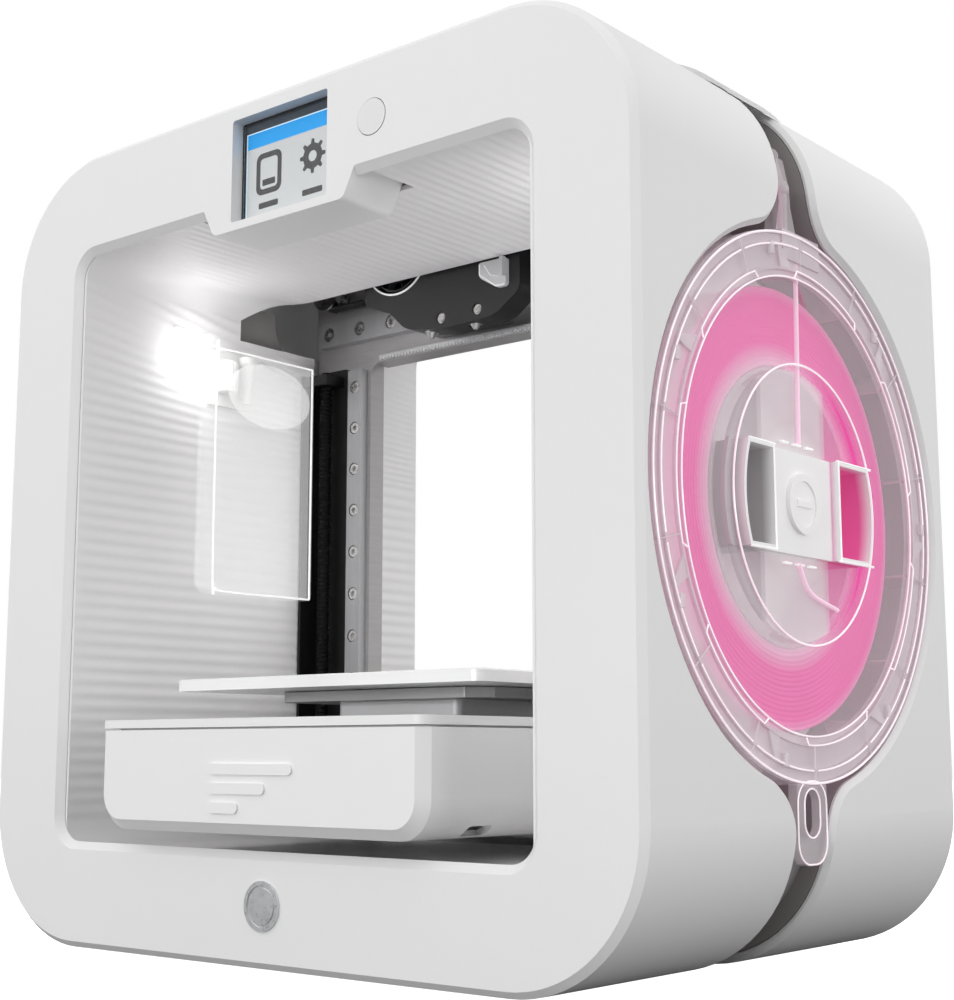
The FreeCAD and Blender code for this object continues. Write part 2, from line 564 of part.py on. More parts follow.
BRACKET_TOP = CHAMBER_TOP - 1.0
BRACKET_X0, BRACKET_X1 = 5.0, 20.2
bracket = prism([(BRACKET_X0, BRACKET_TOP, 1.0), (BRACKET_X0, 284.0, 4.0), (BRACKET_X0 + 10.0, 278.0, 3.0),
                 (BRACKET_X1, 278.0, 2.0), (BRACKET_X1, BRACKET_TOP, 1.0)],
                "y", HEAD_FRONT - 2.2, HEAD_FRONT)
bracket = bracket.fuse(box(BRACKET_X1 - 1.5, BRACKET_X1, HEAD_FRONT - 5.0, HEAD_FRONT - 2.2, 282.0,
                           BRACKET_TOP))
save("sensor_bracket", bracket.removeSplitter())

BLOCK = (-42.0, 2.0, HEAD_BACK, GANTRY_Y - 1.0, 270.0, 291.0)
block = box(*BLOCK)
block = block.cut(box(-60, 20, GANTRY_Y - X_RAIL_THICK - 0.3, 50, X_RAIL_Z - X_RAIL_H / 2 - 0.3,
                      X_RAIL_Z + X_RAIL_H / 2 + 0.3))
BELT_RUN = BELT_Z - PULLEY_R - BELT_GAP - BELT_THICK
clamp = box(-30, -10, HEAD_BACK, PULLEY_BACK - 0.6, 291.0, BELT_RUN - 0.3)
save("head_block", fuse(block, clamp))

# ---- moving stage --------------------------------------------------------------------------
LID_LOW = STAGE_HIGH - LID
FRONT_BEVEL = 4.0
stage = prism([(-STAGE_HALF, LID_LOW, 0), (-STAGE_HALF, STAGE_LOW, 14.0), (STAGE_HALF, STAGE_LOW, 14.0),
               (STAGE_HALF, LID_LOW, 0)], "y", STAGE_FRONT, STAGE_REAR)
for end in (STAGE_FRONT, STAGE_REAR):
    rim = [e for e in outer_edges(stage, end) if min(v.Point.z for v in e.Vertexes) < LID_LOW - 1]
    stage = stage.makeChamfer(FRONT_BEVEL, rim)
stage_inner = prism([(-STAGE_HALF + STAGE_WALL, 200, 0),
                     (-STAGE_HALF + STAGE_WALL, STAGE_LOW + STAGE_WALL, 11.5),
                     (STAGE_HALF - STAGE_WALL, STAGE_LOW + STAGE_WALL, 11.5),
                     (STAGE_HALF - STAGE_WALL, 200, 0)],
                    "y", STAGE_FRONT + 5, STAGE_REAR - 5)
stage = stage.cut(stage_inner)
stage = stage.cut(prism([(-92.0, 50.5, 1.4), (-79.0, 50.5, 1.4), (-79.0, 54.0, 1.4), (-92.0, 54.0, 1.4)], "x",
                        STAGE_HALF - 12, STAGE_HALF + 1))
save("stage_housing", stage)

SLOT_HALF = 10.0
SLOT_REACH = 106.0
SLOT_R = 3.0
lid = prism(rect(-STAGE_HALF, STAGE_HALF, STAGE_FRONT, STAGE_REAR, 5.0), "z", LID_LOW + 0.8, STAGE_HIGH)
lid = lid.fuse(prism(rect(-STAGE_HALF + 3, STAGE_HALF - 3, STAGE_FRONT + 6, STAGE_REAR - 6, 4.0), "z",
                     LID_LOW - 1.5, LID_LOW + 0.8)).removeSplitter()
lid = lid.cut(prism(rect(-SLOT_HALF, SLOT_HALF, -SLOT_REACH, SLOT_REACH, SLOT_R), "z", 60, 120))
save("stage_lid", lid)

EMBLEM = 0.8
emblem = []
for k, length in enumerate((44.0, 30.0, 16.0)):
    z = 73.0 - 7.0 * k
    emblem.append(prism(rect(-20.0, -20.0 + length, z - 2, z + 2, 1.9), "y", STAGE_FRONT - EMBLEM,
                        STAGE_FRONT))
save("stage_emblem", Part.makeCompound(emblem))

BLOCK_OUT = 5.5
BLOCK_Z = (56.0, 84.0)
carriage = box(Z_RAIL_X - 8.0, Z_RAIL_X + BLOCK_OUT, 23.0, GANTRY_Y - 1.2, *BLOCK_Z)
carriage = carriage.cut(box(Z_RAIL_X - RAIL_WIDTH / 2 - 0.3, Z_RAIL_X + RAIL_WIDTH / 2 + 0.3,
                            GANTRY_Y - RAIL_THICK - 0.3, 50, 0, 200))
carriage = carriage.cut(box(0, STAGE_HALF + 1.2, -200, 200, 0, 200))

arm = box(STAGE_HALF - 1.0, Z_RAIL_X + BLOCK_OUT, 19.0, 23.0, BLOCK_Z[0], BLOCK_Z[1])
arm = arm.cut(box(0, STAGE_HALF, -200, 200, 0, 200))
arm = arm.fuse(box(STAGE_HALF, STAGE_HALF + 1.2, 19.0, GANTRY_Y - 1.2, BLOCK_Z[0], BLOCK_Z[1]))
NUT_LOW, NUT_HIGH = 62.0, 74.0
ledge = box(Z_RAIL_X + BLOCK_OUT, Z_SCREW_X + 6.5, 19.0, 32.6, NUT_LOW - 3.0, NUT_LOW)
ledge = ledge.cut(cyl("z", Z_SCREW_R + 1.0, Z_SCREW_X, Z_SCREW_Y, 0, 200))
arm = fuse(arm, ledge)
save("stage_arms", Part.makeCompound([arm, mirror_x(arm)]))

nut = tube("z", 5.2, Z_SCREW_R + RUN_FIT, Z_SCREW_X, Z_SCREW_Y, NUT_LOW, NUT_HIGH)
save("z_bearings", Part.makeCompound([carriage, mirror_x(carriage), nut, mirror_x(nut)]))

Y_RAIL_HIGH = 62.0
FLOOR = STAGE_LOW + STAGE_WALL
y_rail = box(-RAIL_WIDTH / 2, RAIL_WIDTH / 2, -112.0, 112.0, FLOOR, Y_RAIL_HIGH)
save("y_rail", y_rail)
Y_PULLEY_R = 5.0
Y_BELT_X, Y_BELT_Z, Y_BELT_Y = -17.0, 72.0, 104.0
drive = motor("x", Y_BELT_Y, Y_BELT_Z - 4.0, -56.0, -24.0, 10.0)
drive = drive.fuse(cyl("x", Y_PULLEY_R, Y_BELT_Y, Y_BELT_Z, -24.0, Y_BELT_X + 3))
save("y_motor", drive.removeSplitter())
y_idler = cyl("x", Y_PULLEY_R, -Y_BELT_Y, Y_BELT_Z, Y_BELT_X - 3, Y_BELT_X + 3)
y_loop = belt_loop("x", -Y_BELT_Y, Y_BELT_Y, Y_BELT_Z, Y_PULLEY_R, Y_BELT_X - 2.5, Y_BELT_X + 2.5)
save("y_belt", Part.makeCompound([y_loop, y_idler]))

# ---- plate carriage and print plate ----------------------------------------------------------
ARM_HALF = 33.0
ARM_REACH = 36.2
ARM_LOW, ARM_HIGH = 92.3, 99.5
plate_arm = prism(rect(-ARM_HALF, ARM_HALF, PLATE_Y - ARM_REACH, PLATE_Y + ARM_REACH, 3.0), "z", ARM_LOW,
                  ARM_HIGH)
foot = box(-8.5, 8.5, PLATE_Y - 24, PLATE_Y + 24, Y_RAIL_HIGH - 5, ARM_LOW)
foot = foot.cut(box(-RAIL_WIDTH / 2 - 0.3, RAIL_WIDTH / 2 + 0.3, -200, 200, 0, Y_RAIL_HIGH + 0.3))
grip = box(-20.0, -8.5, PLATE_Y - 8, PLATE_Y + 8, Y_BELT_Z + 8, Y_BELT_Z + 10.5)
plate_arm = fuse(plate_arm, foot, grip)
LEVEL_SPOTS = [(-27.0, PLATE_Y - 30.0), (27.0, PLATE_Y - 30.0), (0.0, PLATE_Y + 30.0)]
for lx, ly in LEVEL_SPOTS:
    plate_arm = plate_arm.cut(cyl("z", 2.2, lx, ly, 90, 120))

HOLDER_HALF = 56.7
HOLDER_Y = 51.2
holder = prism([(-HOLDER_HALF, PLATE_Y - HOLDER_Y + 8, 1), (-HOLDER_HALF + 8, PLATE_Y - HOLDER_Y, 1),
                (HOLDER_HALF - 8, PLATE_Y - HOLDER_Y, 1), (HOLDER_HALF, PLATE_Y - HOLDER_Y + 8, 1),
                (HOLDER_HALF, PLATE_Y + HOLDER_Y - 8, 1), (HOLDER_HALF - 8, PLATE_Y + HOLDER_Y, 1),
                (-HOLDER_HALF + 8, PLATE_Y + HOLDER_Y, 1), (-HOLDER_HALF, PLATE_Y + HOLDER_Y - 8, 1)],
               "z", ARM_HIGH, PLATE_LOW - 0.3)
save("plate_holder", holder)
knobs = [fuse(cyl("z", 2.1, lx, ly, ARM_LOW - 0.3, ARM_HIGH), cyl("z", 4.0, lx, ly, ARM_LOW - 0.6, ARM_LOW))
         for lx, ly in LEVEL_SPOTS]
save("carriage_arm", Part.makeCompound([plate_arm] + knobs))

plate = prism(rect(-PLATE_HALF, PLATE_HALF, PLATE_Y - PLATE_HALF, PLATE_Y + PLATE_HALF, 4.0), "z",
              PLATE_LOW, PLATE_HIGH)
plate = plate.makeChamfer(0.6, [e for e in plate.Edges if abs(e.BoundBox.ZMin - PLATE_HIGH) < 0.01])
save("print_plate", plate)

# ---- display, button, badge, lights, waste bin -----------------------------------------------
x0, x1, z0, z1 = SCREEN
WINDOW_Y = FRONT + SCREEN_DEPTH
save("display_window", prism(rect(x0 + 0.1, x1 - 0.1, z0 + 0.1, z1 - 0.1, 1.1), "y", WINDOW_Y,
                             WINDOW_Y + 1.0))
save("display_panel", box(x0 - 0.5, x1 + 0.5, WINDOW_Y + 1.3, WINDOW_Y + 6.0, z0 - 0.2, z1 + 0.5))
button = cyl("y", BUTTON_R, BUTTON_X, BUTTON_Z, FRONT - 0.2, FRONT + 5.0)
button = button.fuse(cyl("y", 3.0, BUTTON_X, BUTTON_Z, FRONT + 5.0, FRONT + 10.0)).removeSplitter()
save("power_button", button)

BADGE_X, BADGE_Z, BADGE_R = 0.0, 24.0, 9.0
badge = cyl("y", BADGE_R, BADGE_X, BADGE_Z, FRONT - 0.9, FRONT)
badge = badge.cut(tube("y", BADGE_R - 1.6, BADGE_R - 2.4, BADGE_X, BADGE_Z, FRONT - 1, FRONT - 0.5))
save("sill_badge", badge)

LIGHT_Y, LIGHT_Z = -49.0, 266.0
lamp = fuse(box(CHAMBER_HALF - 1.6, CHAMBER_HALF, LIGHT_Y - 9, LIGHT_Y + 9, LIGHT_Z - 4, LIGHT_Z + 4),
            cyl("x", 2.6, LIGHT_Y - 4, LIGHT_Z, CHAMBER_HALF - 2.6, CHAMBER_HALF - 1.6),
            cyl("x", 2.6, LIGHT_Y + 4, LIGHT_Z, CHAMBER_HALF - 2.6, CHAMBER_HALF - 1.6))
save("chamber_lights", Part.makeCompound([lamp, mirror_x(lamp)]))

BIN_OUT, BIN_IN = -109.5, -121.7
BIN_FRONT, BIN_REAR = -43.0, 18.5
BIN_LOW, BIN_HIGH = 150.0, 262.0
BIN_WALL = 1.4
bin_outline = [(BIN_FRONT, BIN_LOW, 7.0), (BIN_REAR, BIN_LOW, 2.0), (BIN_REAR, BIN_HIGH, 1.0),
               (BIN_FRONT, BIN_HIGH, 4.0)]
bin_body = prism(bin_outline, "x", BIN_IN, BIN_OUT)
bin_hollow = prism([(BIN_FRONT + BIN_WALL, BIN_LOW + BIN_WALL, 5.6),
                    (BIN_REAR - BIN_WALL, BIN_LOW + BIN_WALL, 1.0),
                    (BIN_REAR - BIN_WALL, 300, 0), (BIN_FRONT + BIN_WALL, 300, 0)], "x",
                   BIN_IN + BIN_WALL, BIN_OUT - BIN_WALL)
bin_body = bin_body.cut(bin_hollow)
bin_body = bin_body.cut(box(BIN_IN - 1, BIN_IN + 2 * BIN_WALL, BIN_FRONT + BIN_WALL, BIN_REAR - BIN_WALL,
                            232.0, 300))
save("waste_bin", bin_body)

wiper = box(-CHAMBER_HALF, -CHAMBER_HALF + 1.2, -38.0, -10.0, 238.0, 264.0)
wiper = wiper.fuse(cyl("z", 4.2, -116.4, -30.0, 244.0, 258.0))
wiper = wiper.fuse(box(-CHAMBER_HALF, -116.0, -31.0, -29.0, 246.0, 256.0))
wiper = wiper.fuse(cone("z", 2.0, 4.0, -116.6, -18.0, 240.0, 262.0))
wiper = wiper.fuse(box(-CHAMBER_HALF, -116.0, -19.0, -17.0, 244.0, 258.0)).removeSplitter()
save("nozzle_wiper", wiper)

# ---- filament cartridges -------------------------------------------------------------------
CASE_BACK = 132.0
CASE_FACE = 165.2
CASE_WALL = 1.6
COVER_BACK = CASE_FACE - CASE_WALL
RIB_DEEP = 13.0             # the cover's ribs reach this far into the case
HUB_R = 50.0
POST_R = 8.0
SPOOL_R = 83.5
RIB_COUNT = 14
HUB_HALF_Z = 18.7
BLOCK_Y = (-25.8, 20.2)
POCKET_R = 46.0
TAIL_HALF = 10.5
TAIL_LOW = 40.0
CY, CZ = CARTRIDGE_Y, CARTRIDGE_Z
case = fuse(tube("x", CARTRIDGE_R, CARTRIDGE_R - CASE_WALL, CY, CZ, CASE_BACK, COVER_BACK),
            cyl("x", CARTRIDGE_R, CY, CZ, CASE_BACK, CASE_BACK + CASE_WALL),
            cyl("x", POST_R, CY, CZ, CASE_BACK, 141.0))
save("right_case", case)
save("left_case", mirror_x(case))

plate_ring = tube("x", CARTRIDGE_R, HUB_R, CY, CZ, COVER_BACK, CASE_FACE)
cover_parts = []
for r_out in (CARTRIDGE_R - 0.2, 95.4, 86.6, SPOOL_R, HUB_R + 1.4):
    cover_parts.append(tube("x", r_out, r_out - 1.1, CY, CZ, CASE_FACE, CASE_FACE + 1.3))
for k in range(RIB_COUNT):
    rib = box(COVER_BACK - RIB_DEEP, COVER_BACK, CY + 85.5, CY + CARTRIDGE_R - CASE_WALL - 0.3, CZ - 0.5,
              CZ + 0.5)
    rib.rotate(V(0, CY, CZ), V(1, 0, 0), 360.0 / RIB_COUNT * (k + 0.5))
    cover_parts.append(rib)
tail_y = (WAIST_FRONT + WAIST_REAR) / 2
tail = prism([(tail_y - TAIL_HALF, TAIL_LOW, 8.0), (tail_y + TAIL_HALF, TAIL_LOW, 8.0),
              (tail_y + TAIL_HALF, 78.0, 0),
              (tail_y - TAIL_HALF, 78.0, 0)], "x", 162.6, CASE_FACE + 0.8)
tail = tail.cut(cyl("x", CARTRIDGE_R + 0.05, CY, CZ, 150, 200))
tail = tail.cut(prism(rect(tail_y - 5.5, tail_y + 5.5, 49.5, 66.5, 5.4), "x", 150, 180))
save("right_tail", tail)
save("left_tail", mirror_x(tail))
bend = V(161.2, -7.5, 285.5)
tip = V(160.6, -12.4, 297.0)
slant = Part.makeCylinder(2.4, bend.distanceToPoint(tip), bend, tip - bend)
latch = box(156.0, CASE_FACE + 1.0, -15.0, 12.0, 257.0, 268.0)
guide = fuse(latch, cyl("z", 2.8, 161.2, -7.5, 262.0, 285.5), Part.makeSphere(3.7, bend), slant,
             Part.makeSphere(3.0, tip))
guide = guide.cut(cyl("x", CARTRIDGE_R + 0.05, CY, CZ, 150, COVER_BACK))
cover_plate = fuse(plate_ring, *cover_parts, guide)
save("right_cover", cover_plate)
save("left_cover", mirror_x(cover_plate))

block_y0, block_y1 = BLOCK_Y
hub_grip = cyl("x", HUB_R - 0.4, CY, CZ, 160.4, 162.0)
pocket_round = cyl("x", POCKET_R + 1.5, CY + 2.5, CZ, 143.0, 167.0)
tubs = box(143.0, 167.0, -60, 60, CZ - HUB_HALF_Z, CZ + HUB_HALF_Z).common(pocket_round)
tubs = tubs.cut(box(100.0, 200.0, block_y0, block_y1, 0, 400))
cavity = box(144.5, 200.0, -60, 60, CZ - HUB_HALF_Z + 1.5, CZ + HUB_HALF_Z - 1.5).common(
    cyl("x", POCKET_R, CY + 2.5, CZ, 144.5, 200.0))
cavity = cavity.cut(box(100.0, 200.0, block_y0 - 1.5, block_y1 + 1.5, 0, 400))
middle = box(158.0, 164.0, block_y0 - 1.5, block_y1 + 1.5, CZ - HUB_HALF_Z, CZ + HUB_HALF_Z)
sides = fuse(box(143.0, 167.0, block_y0 - 1.5, block_y0, CZ - HUB_HALF_Z, CZ + HUB_HALF_Z),
             box(143.0, 167.0, block_y1, block_y1 + 1.5, CZ - HUB_HALF_Z, CZ + HUB_HALF_Z))
token = cyl("x", 11.0, (block_y0 + block_y1) / 2, CZ, 164.0, 165.6)
hub_grip = fuse(hub_grip, tubs, middle, sides, token).cut(cavity)
hub_grip = hub_grip.cut(cyl("x", 8.4, (block_y0 + block_y1) / 2, CZ, 165.0, 170.0)).fuse(
    box(165.0, 165.6, -8.0, 2.4, CZ - 1.2, CZ + 1.2)).removeSplitter()
save("right_hub_grip", hub_grip)
save("left_hub_grip", mirror_x(hub_grip))

SPOOL_BACK, SPOOL_FRONT = 135.0, 157.4
spool = tube("x", SPOOL_R, POST_R + RUN_FIT, CY, CZ, SPOOL_BACK, SPOOL_BACK + 1.5)
spool = spool.fuse([tube("x", 11.0, POST_R + RUN_FIT, CY, CZ, SPOOL_BACK, 141.6),
                    tube("x", HUB_R + 1.6, HUB_R, CY, CZ, SPOOL_BACK, SPOOL_FRONT)]).removeSplitter()
save("right_spool", spool)
save("left_spool", mirror_x(spool))
FILAMENT_R = 81.5
filament = tube("x", FILAMENT_R, HUB_R + 1.6, CY, CZ, SPOOL_BACK + 1.5, SPOOL_FRONT - 0.4)
save("right_filament", filament)
save("left_filament", mirror_x(filament))

# ---- top cover -----------------------------------------------------------------------------
def cover_solid(drop, y0, y1):
    """Crown with two arcs that run out on the shells' corners, lowered by drop."""
    crown = TOTAL_HEIGHT - drop
    radius = COVER_ARC_R - drop
    centre_z = TOTAL_HEIGHT - COVER_ARC_R
    body = box(-COVER_FLAT, COVER_FLAT, y0, y1, 280.0, crown)
    for side in (-1, 1):
        body = body.fuse(cyl("y", radius, side * COVER_FLAT, centre_z, y0, y1).common(
            box(-400, 400, y0, y1, 280.0, 400)))
    return body.removeSplitter()


cover = cover_solid(0, COVER_FRONT, COVER_REAR)
rims = [e for e in cover.Edges if abs(abs(e.BoundBox.YMax - e.BoundBox.YMin)) < 0.01
        and e.BoundBox.ZMax > TOTAL_HEIGHT - 0.1]
cover = cover.makeChamfer(2.4, rims)
cover = cover.cut(cover_solid(COVER_WALL, COVER_FRONT + COVER_WALL, COVER_REAR - COVER_WALL))
cover = cover.cut(body_prism(-COVER_GAP, -200, 200))
cover = sorted(cover.Solids, key=lambda s: s.Volume)[-1]
for side in (-1, 1):
    x0, x1 = sorted((side * (LUG_X - LUG_W - COVER_GAP), side * (LUG_X + COVER_GAP)))
    cover = cover.cut(box(x0, x1, COVER_REAR - 4.0, COVER_REAR + 4.0, 300.0, COVER_HINGE_Z + 2.4))
    x0, x1 = sorted((side * (LUG_X + COVER_GAP), side * (LUG_X + KNUCKLE_LONG)))
    cover = cover.fuse(cyl("x", KNUCKLE_R, COVER_REAR, COVER_HINGE_Z, x0, x1))
    cover = cover.cut(cyl("x", PIN_R + RUN_FIT, COVER_REAR, COVER_HINGE_Z, x0 - 1, x1 + 1))
save("top_cover", cover.removeSplitter())
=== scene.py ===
import math

import bmesh
import bpy
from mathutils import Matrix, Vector


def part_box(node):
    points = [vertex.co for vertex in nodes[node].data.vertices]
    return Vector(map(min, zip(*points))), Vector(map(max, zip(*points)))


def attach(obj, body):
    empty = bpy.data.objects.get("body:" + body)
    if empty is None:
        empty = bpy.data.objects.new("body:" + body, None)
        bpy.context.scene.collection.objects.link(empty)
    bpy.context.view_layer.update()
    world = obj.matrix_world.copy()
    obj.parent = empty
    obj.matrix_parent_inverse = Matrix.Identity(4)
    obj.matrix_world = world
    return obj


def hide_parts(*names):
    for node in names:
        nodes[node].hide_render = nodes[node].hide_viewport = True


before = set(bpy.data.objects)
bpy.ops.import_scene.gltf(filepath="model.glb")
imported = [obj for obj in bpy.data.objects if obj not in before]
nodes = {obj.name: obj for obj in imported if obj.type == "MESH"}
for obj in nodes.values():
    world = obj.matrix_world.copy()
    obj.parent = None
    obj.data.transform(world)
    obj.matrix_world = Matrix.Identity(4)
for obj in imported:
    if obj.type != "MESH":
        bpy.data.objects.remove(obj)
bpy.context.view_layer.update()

MM = 0.001


def low(name):
    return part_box(name)[0]


def high(name):
    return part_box(name)[1]


# ---- shared shader groups ----
def new_group(name, inputs, outputs):
    """An empty shader node group. inputs are (name, kind, default), outputs are (name, kind)."""
    tree = bpy.data.node_groups.new(name, "ShaderNodeTree")
    for label, kind, default in inputs:
        socket = tree.interface.new_socket(name=label, in_out="INPUT", socket_type="NodeSocket" + kind)
        socket.default_value = default
    for label, kind in outputs:
        tree.interface.new_socket(name=label, in_out="OUTPUT", socket_type="NodeSocket" + kind)
    start = tree.nodes.new("NodeGroupInput")
    end = tree.nodes.new("NodeGroupOutput")
    return tree, start, end


def place(tree, kind, **settings):
    node = tree.nodes.new(kind)
    for key, value in settings.items():
        setattr(node, key, value)
    return node


def arithmetic(tree, operation, first, second=None, third=None, clamp=False):
    """A Math node. first, second and third are numbers or sockets."""
    node = place(tree, "ShaderNodeMath", operation=operation, use_clamp=clamp)
    for index, value in enumerate((first, second, third)):
        if value is None:
            continue
        if isinstance(value, (int, float)):
            node.inputs[index].default_value = value
        else:
            tree.links.new(value, node.inputs[index])
    return node.outputs[0]


def noise(tree, vector, scale, detail=3.0, roughness=0.55):
    node = place(tree, "ShaderNodeTexNoise")
    node.inputs["Detail"].default_value = detail
    node.inputs["Roughness"].default_value = roughness
    if isinstance(scale, (int, float)):
        node.inputs["Scale"].default_value = scale
    else:
        tree.links.new(scale, node.inputs["Scale"])
    tree.links.new(vector, node.inputs["Vector"])
    return node.outputs["Fac"]


def mix_colors(tree, share, first, second, blend="MIX"):
    node = place(tree, "ShaderNodeMix", data_type="RGBA", blend_type=blend)
    for socket, value in ((node.inputs[0], share), (node.inputs[6], first), (node.inputs[7], second)):
        if isinstance(value, (int, float)):
            socket.default_value = value
        elif isinstance(value, tuple):
            socket.default_value = value if len(value) == 4 else (*value, 1.0)
        else:
            tree.links.new(value, socket)
    return node.outputs[2]


def object_coords(tree):
    return place(tree, "ShaderNodeTexCoord").outputs["Object"]


def scaled_color(tree, color, gain):
    """A colour made lighter or darker by a gain around 1."""
    scale = place(tree, "ShaderNodeVectorMath", operation="SCALE")
    tree.links.new(color, scale.inputs[0])
    tree.links.new(gain, scale.inputs["Scale"])
    return scale.outputs[0]


def swing_about_zero(tree, value, reach):
    """A noise value from 0 to 1 turned into a swing of plus or minus half the reach."""
    return arithmetic(tree, "MULTIPLY", arithmetic(tree, "SUBTRACT", value, 0.5), reach)


def above(tree, value, threshold, gain):
    """How far a noise value stands above a threshold, between 0 and 1."""
    return arithmetic(tree, "MULTIPLY", arithmetic(tree, "SUBTRACT", value, threshold), gain, clamp=True)


def ramp(tree, high_end, low_end, width):
    """Rises from 0 to 1 as high_end passes low_end by the width. Ends are numbers or sockets."""
    return arithmetic(tree, "DIVIDE", arithmetic(tree, "SUBTRACT", high_end, low_end), width, clamp=True)


def stretched_coords(tree, stretch):
    node = place(tree, "ShaderNodeVectorMath", operation="MULTIPLY")
    tree.links.new(object_coords(tree), node.inputs[0])
    if isinstance(stretch, tuple):
        node.inputs[1].default_value = stretch
    else:
        tree.links.new(stretch, node.inputs[1])
    return node.outputs[0]


def build_mottle():
    """Soft uneven tint of a moulded or cast surface."""
    tree, start, end = new_group("soft mottle", [
        ("Color", "Color", (0.8, 0.8, 0.8, 1)), ("Amount", "Float", 0.05), ("Scale", "Float", 30.0),
    ], [("Color", "Color")])
    cloud = noise(tree, object_coords(tree), start.outputs["Scale"], 4.0)
    gain = arithmetic(tree, "ADD", swing_about_zero(tree, cloud, start.outputs["Amount"]), 1.0)
    tree.links.new(scaled_color(tree, start.outputs["Color"], gain), end.inputs["Color"])
    return tree


def build_grain():
    """Fine spark-eroded grain of a moulding tool, as a height and a roughness."""
    tree, start, end = new_group("moulded grain", [
        ("Scale", "Float", 900.0), ("Depth", "Float", 0.1), ("Roughness", "Float", 0.4),
        ("Spread", "Float", 0.08),
    ], [("Height", "Float"), ("Roughness", "Float")])
    coords = object_coords(tree)
    fine = noise(tree, coords, start.outputs["Scale"], 2.0, 0.6)
    tree.links.new(arithmetic(tree, "MULTIPLY", fine, start.outputs["Depth"]), end.inputs["Height"])
    swing = swing_about_zero(tree, noise(tree, coords, 22.0, 3.0), start.outputs["Spread"])
    rough = arithmetic(tree, "ADD", swing, start.outputs["Roughness"], clamp=True)
    tree.links.new(rough, end.inputs["Roughness"])
    return tree


def build_brushed():
    """Drawn or rolled lines of a metal part. Stretch is small along the lines."""
    tree, start, end = new_group("brushed lines", [
        ("Stretch", "Vector", (20.0, 900.0, 900.0)), ("Depth", "Float", 0.1),
        ("Color", "Color", (0.5, 0.5, 0.5, 1)), ("Contrast", "Float", 0.2), ("Roughness", "Float", 0.35),
    ], [("Height", "Float"), ("Color", "Color"), ("Roughness", "Float")])
    lines = noise(tree, stretched_coords(tree, start.outputs["Stretch"]), 1.0, 4.0, 0.65)
    tree.links.new(arithmetic(tree, "MULTIPLY", lines, start.outputs["Depth"]), end.inputs["Height"])
    swing = swing_about_zero(tree, lines, start.outputs["Contrast"])
    gain = arithmetic(tree, "ADD", swing, 1.0)
    tree.links.new(scaled_color(tree, start.outputs["Color"], gain), end.inputs["Color"])
    rough = arithmetic(tree, "ADD", swing, start.outputs["Roughness"], clamp=True)
    tree.links.new(rough, end.inputs["Roughness"])
    return tree


def build_disc_zone():
    """Mask of a ring about the cartridges' axis, 1 between Inner and Outer, with soft edges."""
    tree, start, end = new_group("disc zone", [
        ("Axis Y", "Float", 0.0), ("Axis Z", "Float", 0.17), ("Inner", "Float", 0.05),
        ("Outer", "Float", 0.08),
        ("Softness", "Float", 0.002),
    ], [("Mask", "Float")])
    split = place(tree, "ShaderNodeSeparateXYZ")
    tree.links.new(object_coords(tree), split.inputs[0])
    dy = arithmetic(tree, "SUBTRACT", split.outputs["Y"], start.outputs["Axis Y"])
    dz = arithmetic(tree, "SUBTRACT", split.outputs["Z"], start.outputs["Axis Z"])
    square = arithmetic(tree, "ADD", arithmetic(tree, "MULTIPLY", dy, dy),
                        arithmetic(tree, "MULTIPLY", dz, dz))
    radius = arithmetic(tree, "SQRT", square)
    rise = ramp(tree, radius, start.outputs["Inner"], start.outputs["Softness"])
    fall = ramp(tree, start.outputs["Outer"], radius, start.outputs["Softness"])
    tree.links.new(arithmetic(tree, "MULTIPLY", rise, fall), end.inputs["Mask"])
    return tree


def build_dust():
    """Sparse specks and faint wipe marks, as a mask."""
    tree, start, end = new_group("handling marks", [
        ("Scale", "Float", 260.0), ("Amount", "Float", 0.3),
    ], [("Mask", "Float")])
    specks = above(tree, noise(tree, object_coords(tree), start.outputs["Scale"], 1.0), 0.68, 6.0)
    wipes = above(tree, noise(tree, stretched_coords(tree, (18.0, 60.0, 160.0)), 1.0, 3.0), 0.55, 2.0)
    both = arithmetic(tree, "MAXIMUM", specks, wipes)
    tree.links.new(arithmetic(tree, "MULTIPLY", both, start.outputs["Amount"]), end.inputs["Mask"])
    return tree


MOTTLE = build_mottle()
GRAIN = build_grain()
BRUSHED = build_brushed()
DISC_ZONE = build_disc_zone()
MARKS = build_dust()

CARTRIDGE_AXIS_Y = (low("right_spool").y + high("right_spool").y) / 2
CARTRIDGE_AXIS_Z = (low("right_spool").z + high("right_spool").z) / 2


# ---- materials ----
def with_alpha(value):
    """A colour of three numbers gets its fourth. Other values stay."""
    return (*value, 1.0) if isinstance(value, tuple) and len(value) == 3 else value


def use(tree, group, **values):
    """Places a shared group with its own values. Returns its outputs."""
    node = place(tree, "ShaderNodeGroup", node_tree=group)
    for key, value in values.items():
        socket = node.inputs[key.replace("_", " ")]
        if isinstance(value, (int, float, tuple)):
            socket.default_value = with_alpha(value) if socket.type == "RGBA" else value
        else:
            tree.links.new(value, socket)
    return node.outputs


def blank(name, **sockets):
    """A material with one Principled shader. Constant values are set on the shader's own sockets."""
    material = bpy.data.materials.new(name)
    material.use_nodes = True
    tree = material.node_tree
    shader = tree.nodes["Principled BSDF"]
    for key, value in sockets.items():
        shader.inputs[key.replace("_", " ")].default_value = with_alpha(value)
    return material, tree, shader


def finish_skin(tree, shader, color, rough, height, strength, distance, adds_painted_glow=False):
    """Feeds a shader its colour, roughness and bump. A skin set to glow also gives off its own colour:
    painted light.
    """
    tree.links.new(color, shader.inputs["Base Color"])
    if adds_painted_glow:
        tree.links.new(color, shader.inputs["Emission Color"])
    tree.links.new(rough, shader.inputs["Roughness"])
    bump = place(tree, "ShaderNodeBump")
    bump.inputs["Strength"].default_value = strength
    bump.inputs["Distance"].default_value = distance
    tree.links.new(height, bump.inputs["Height"])
    tree.links.new(bump.outputs["Normal"], shader.inputs["Normal"])


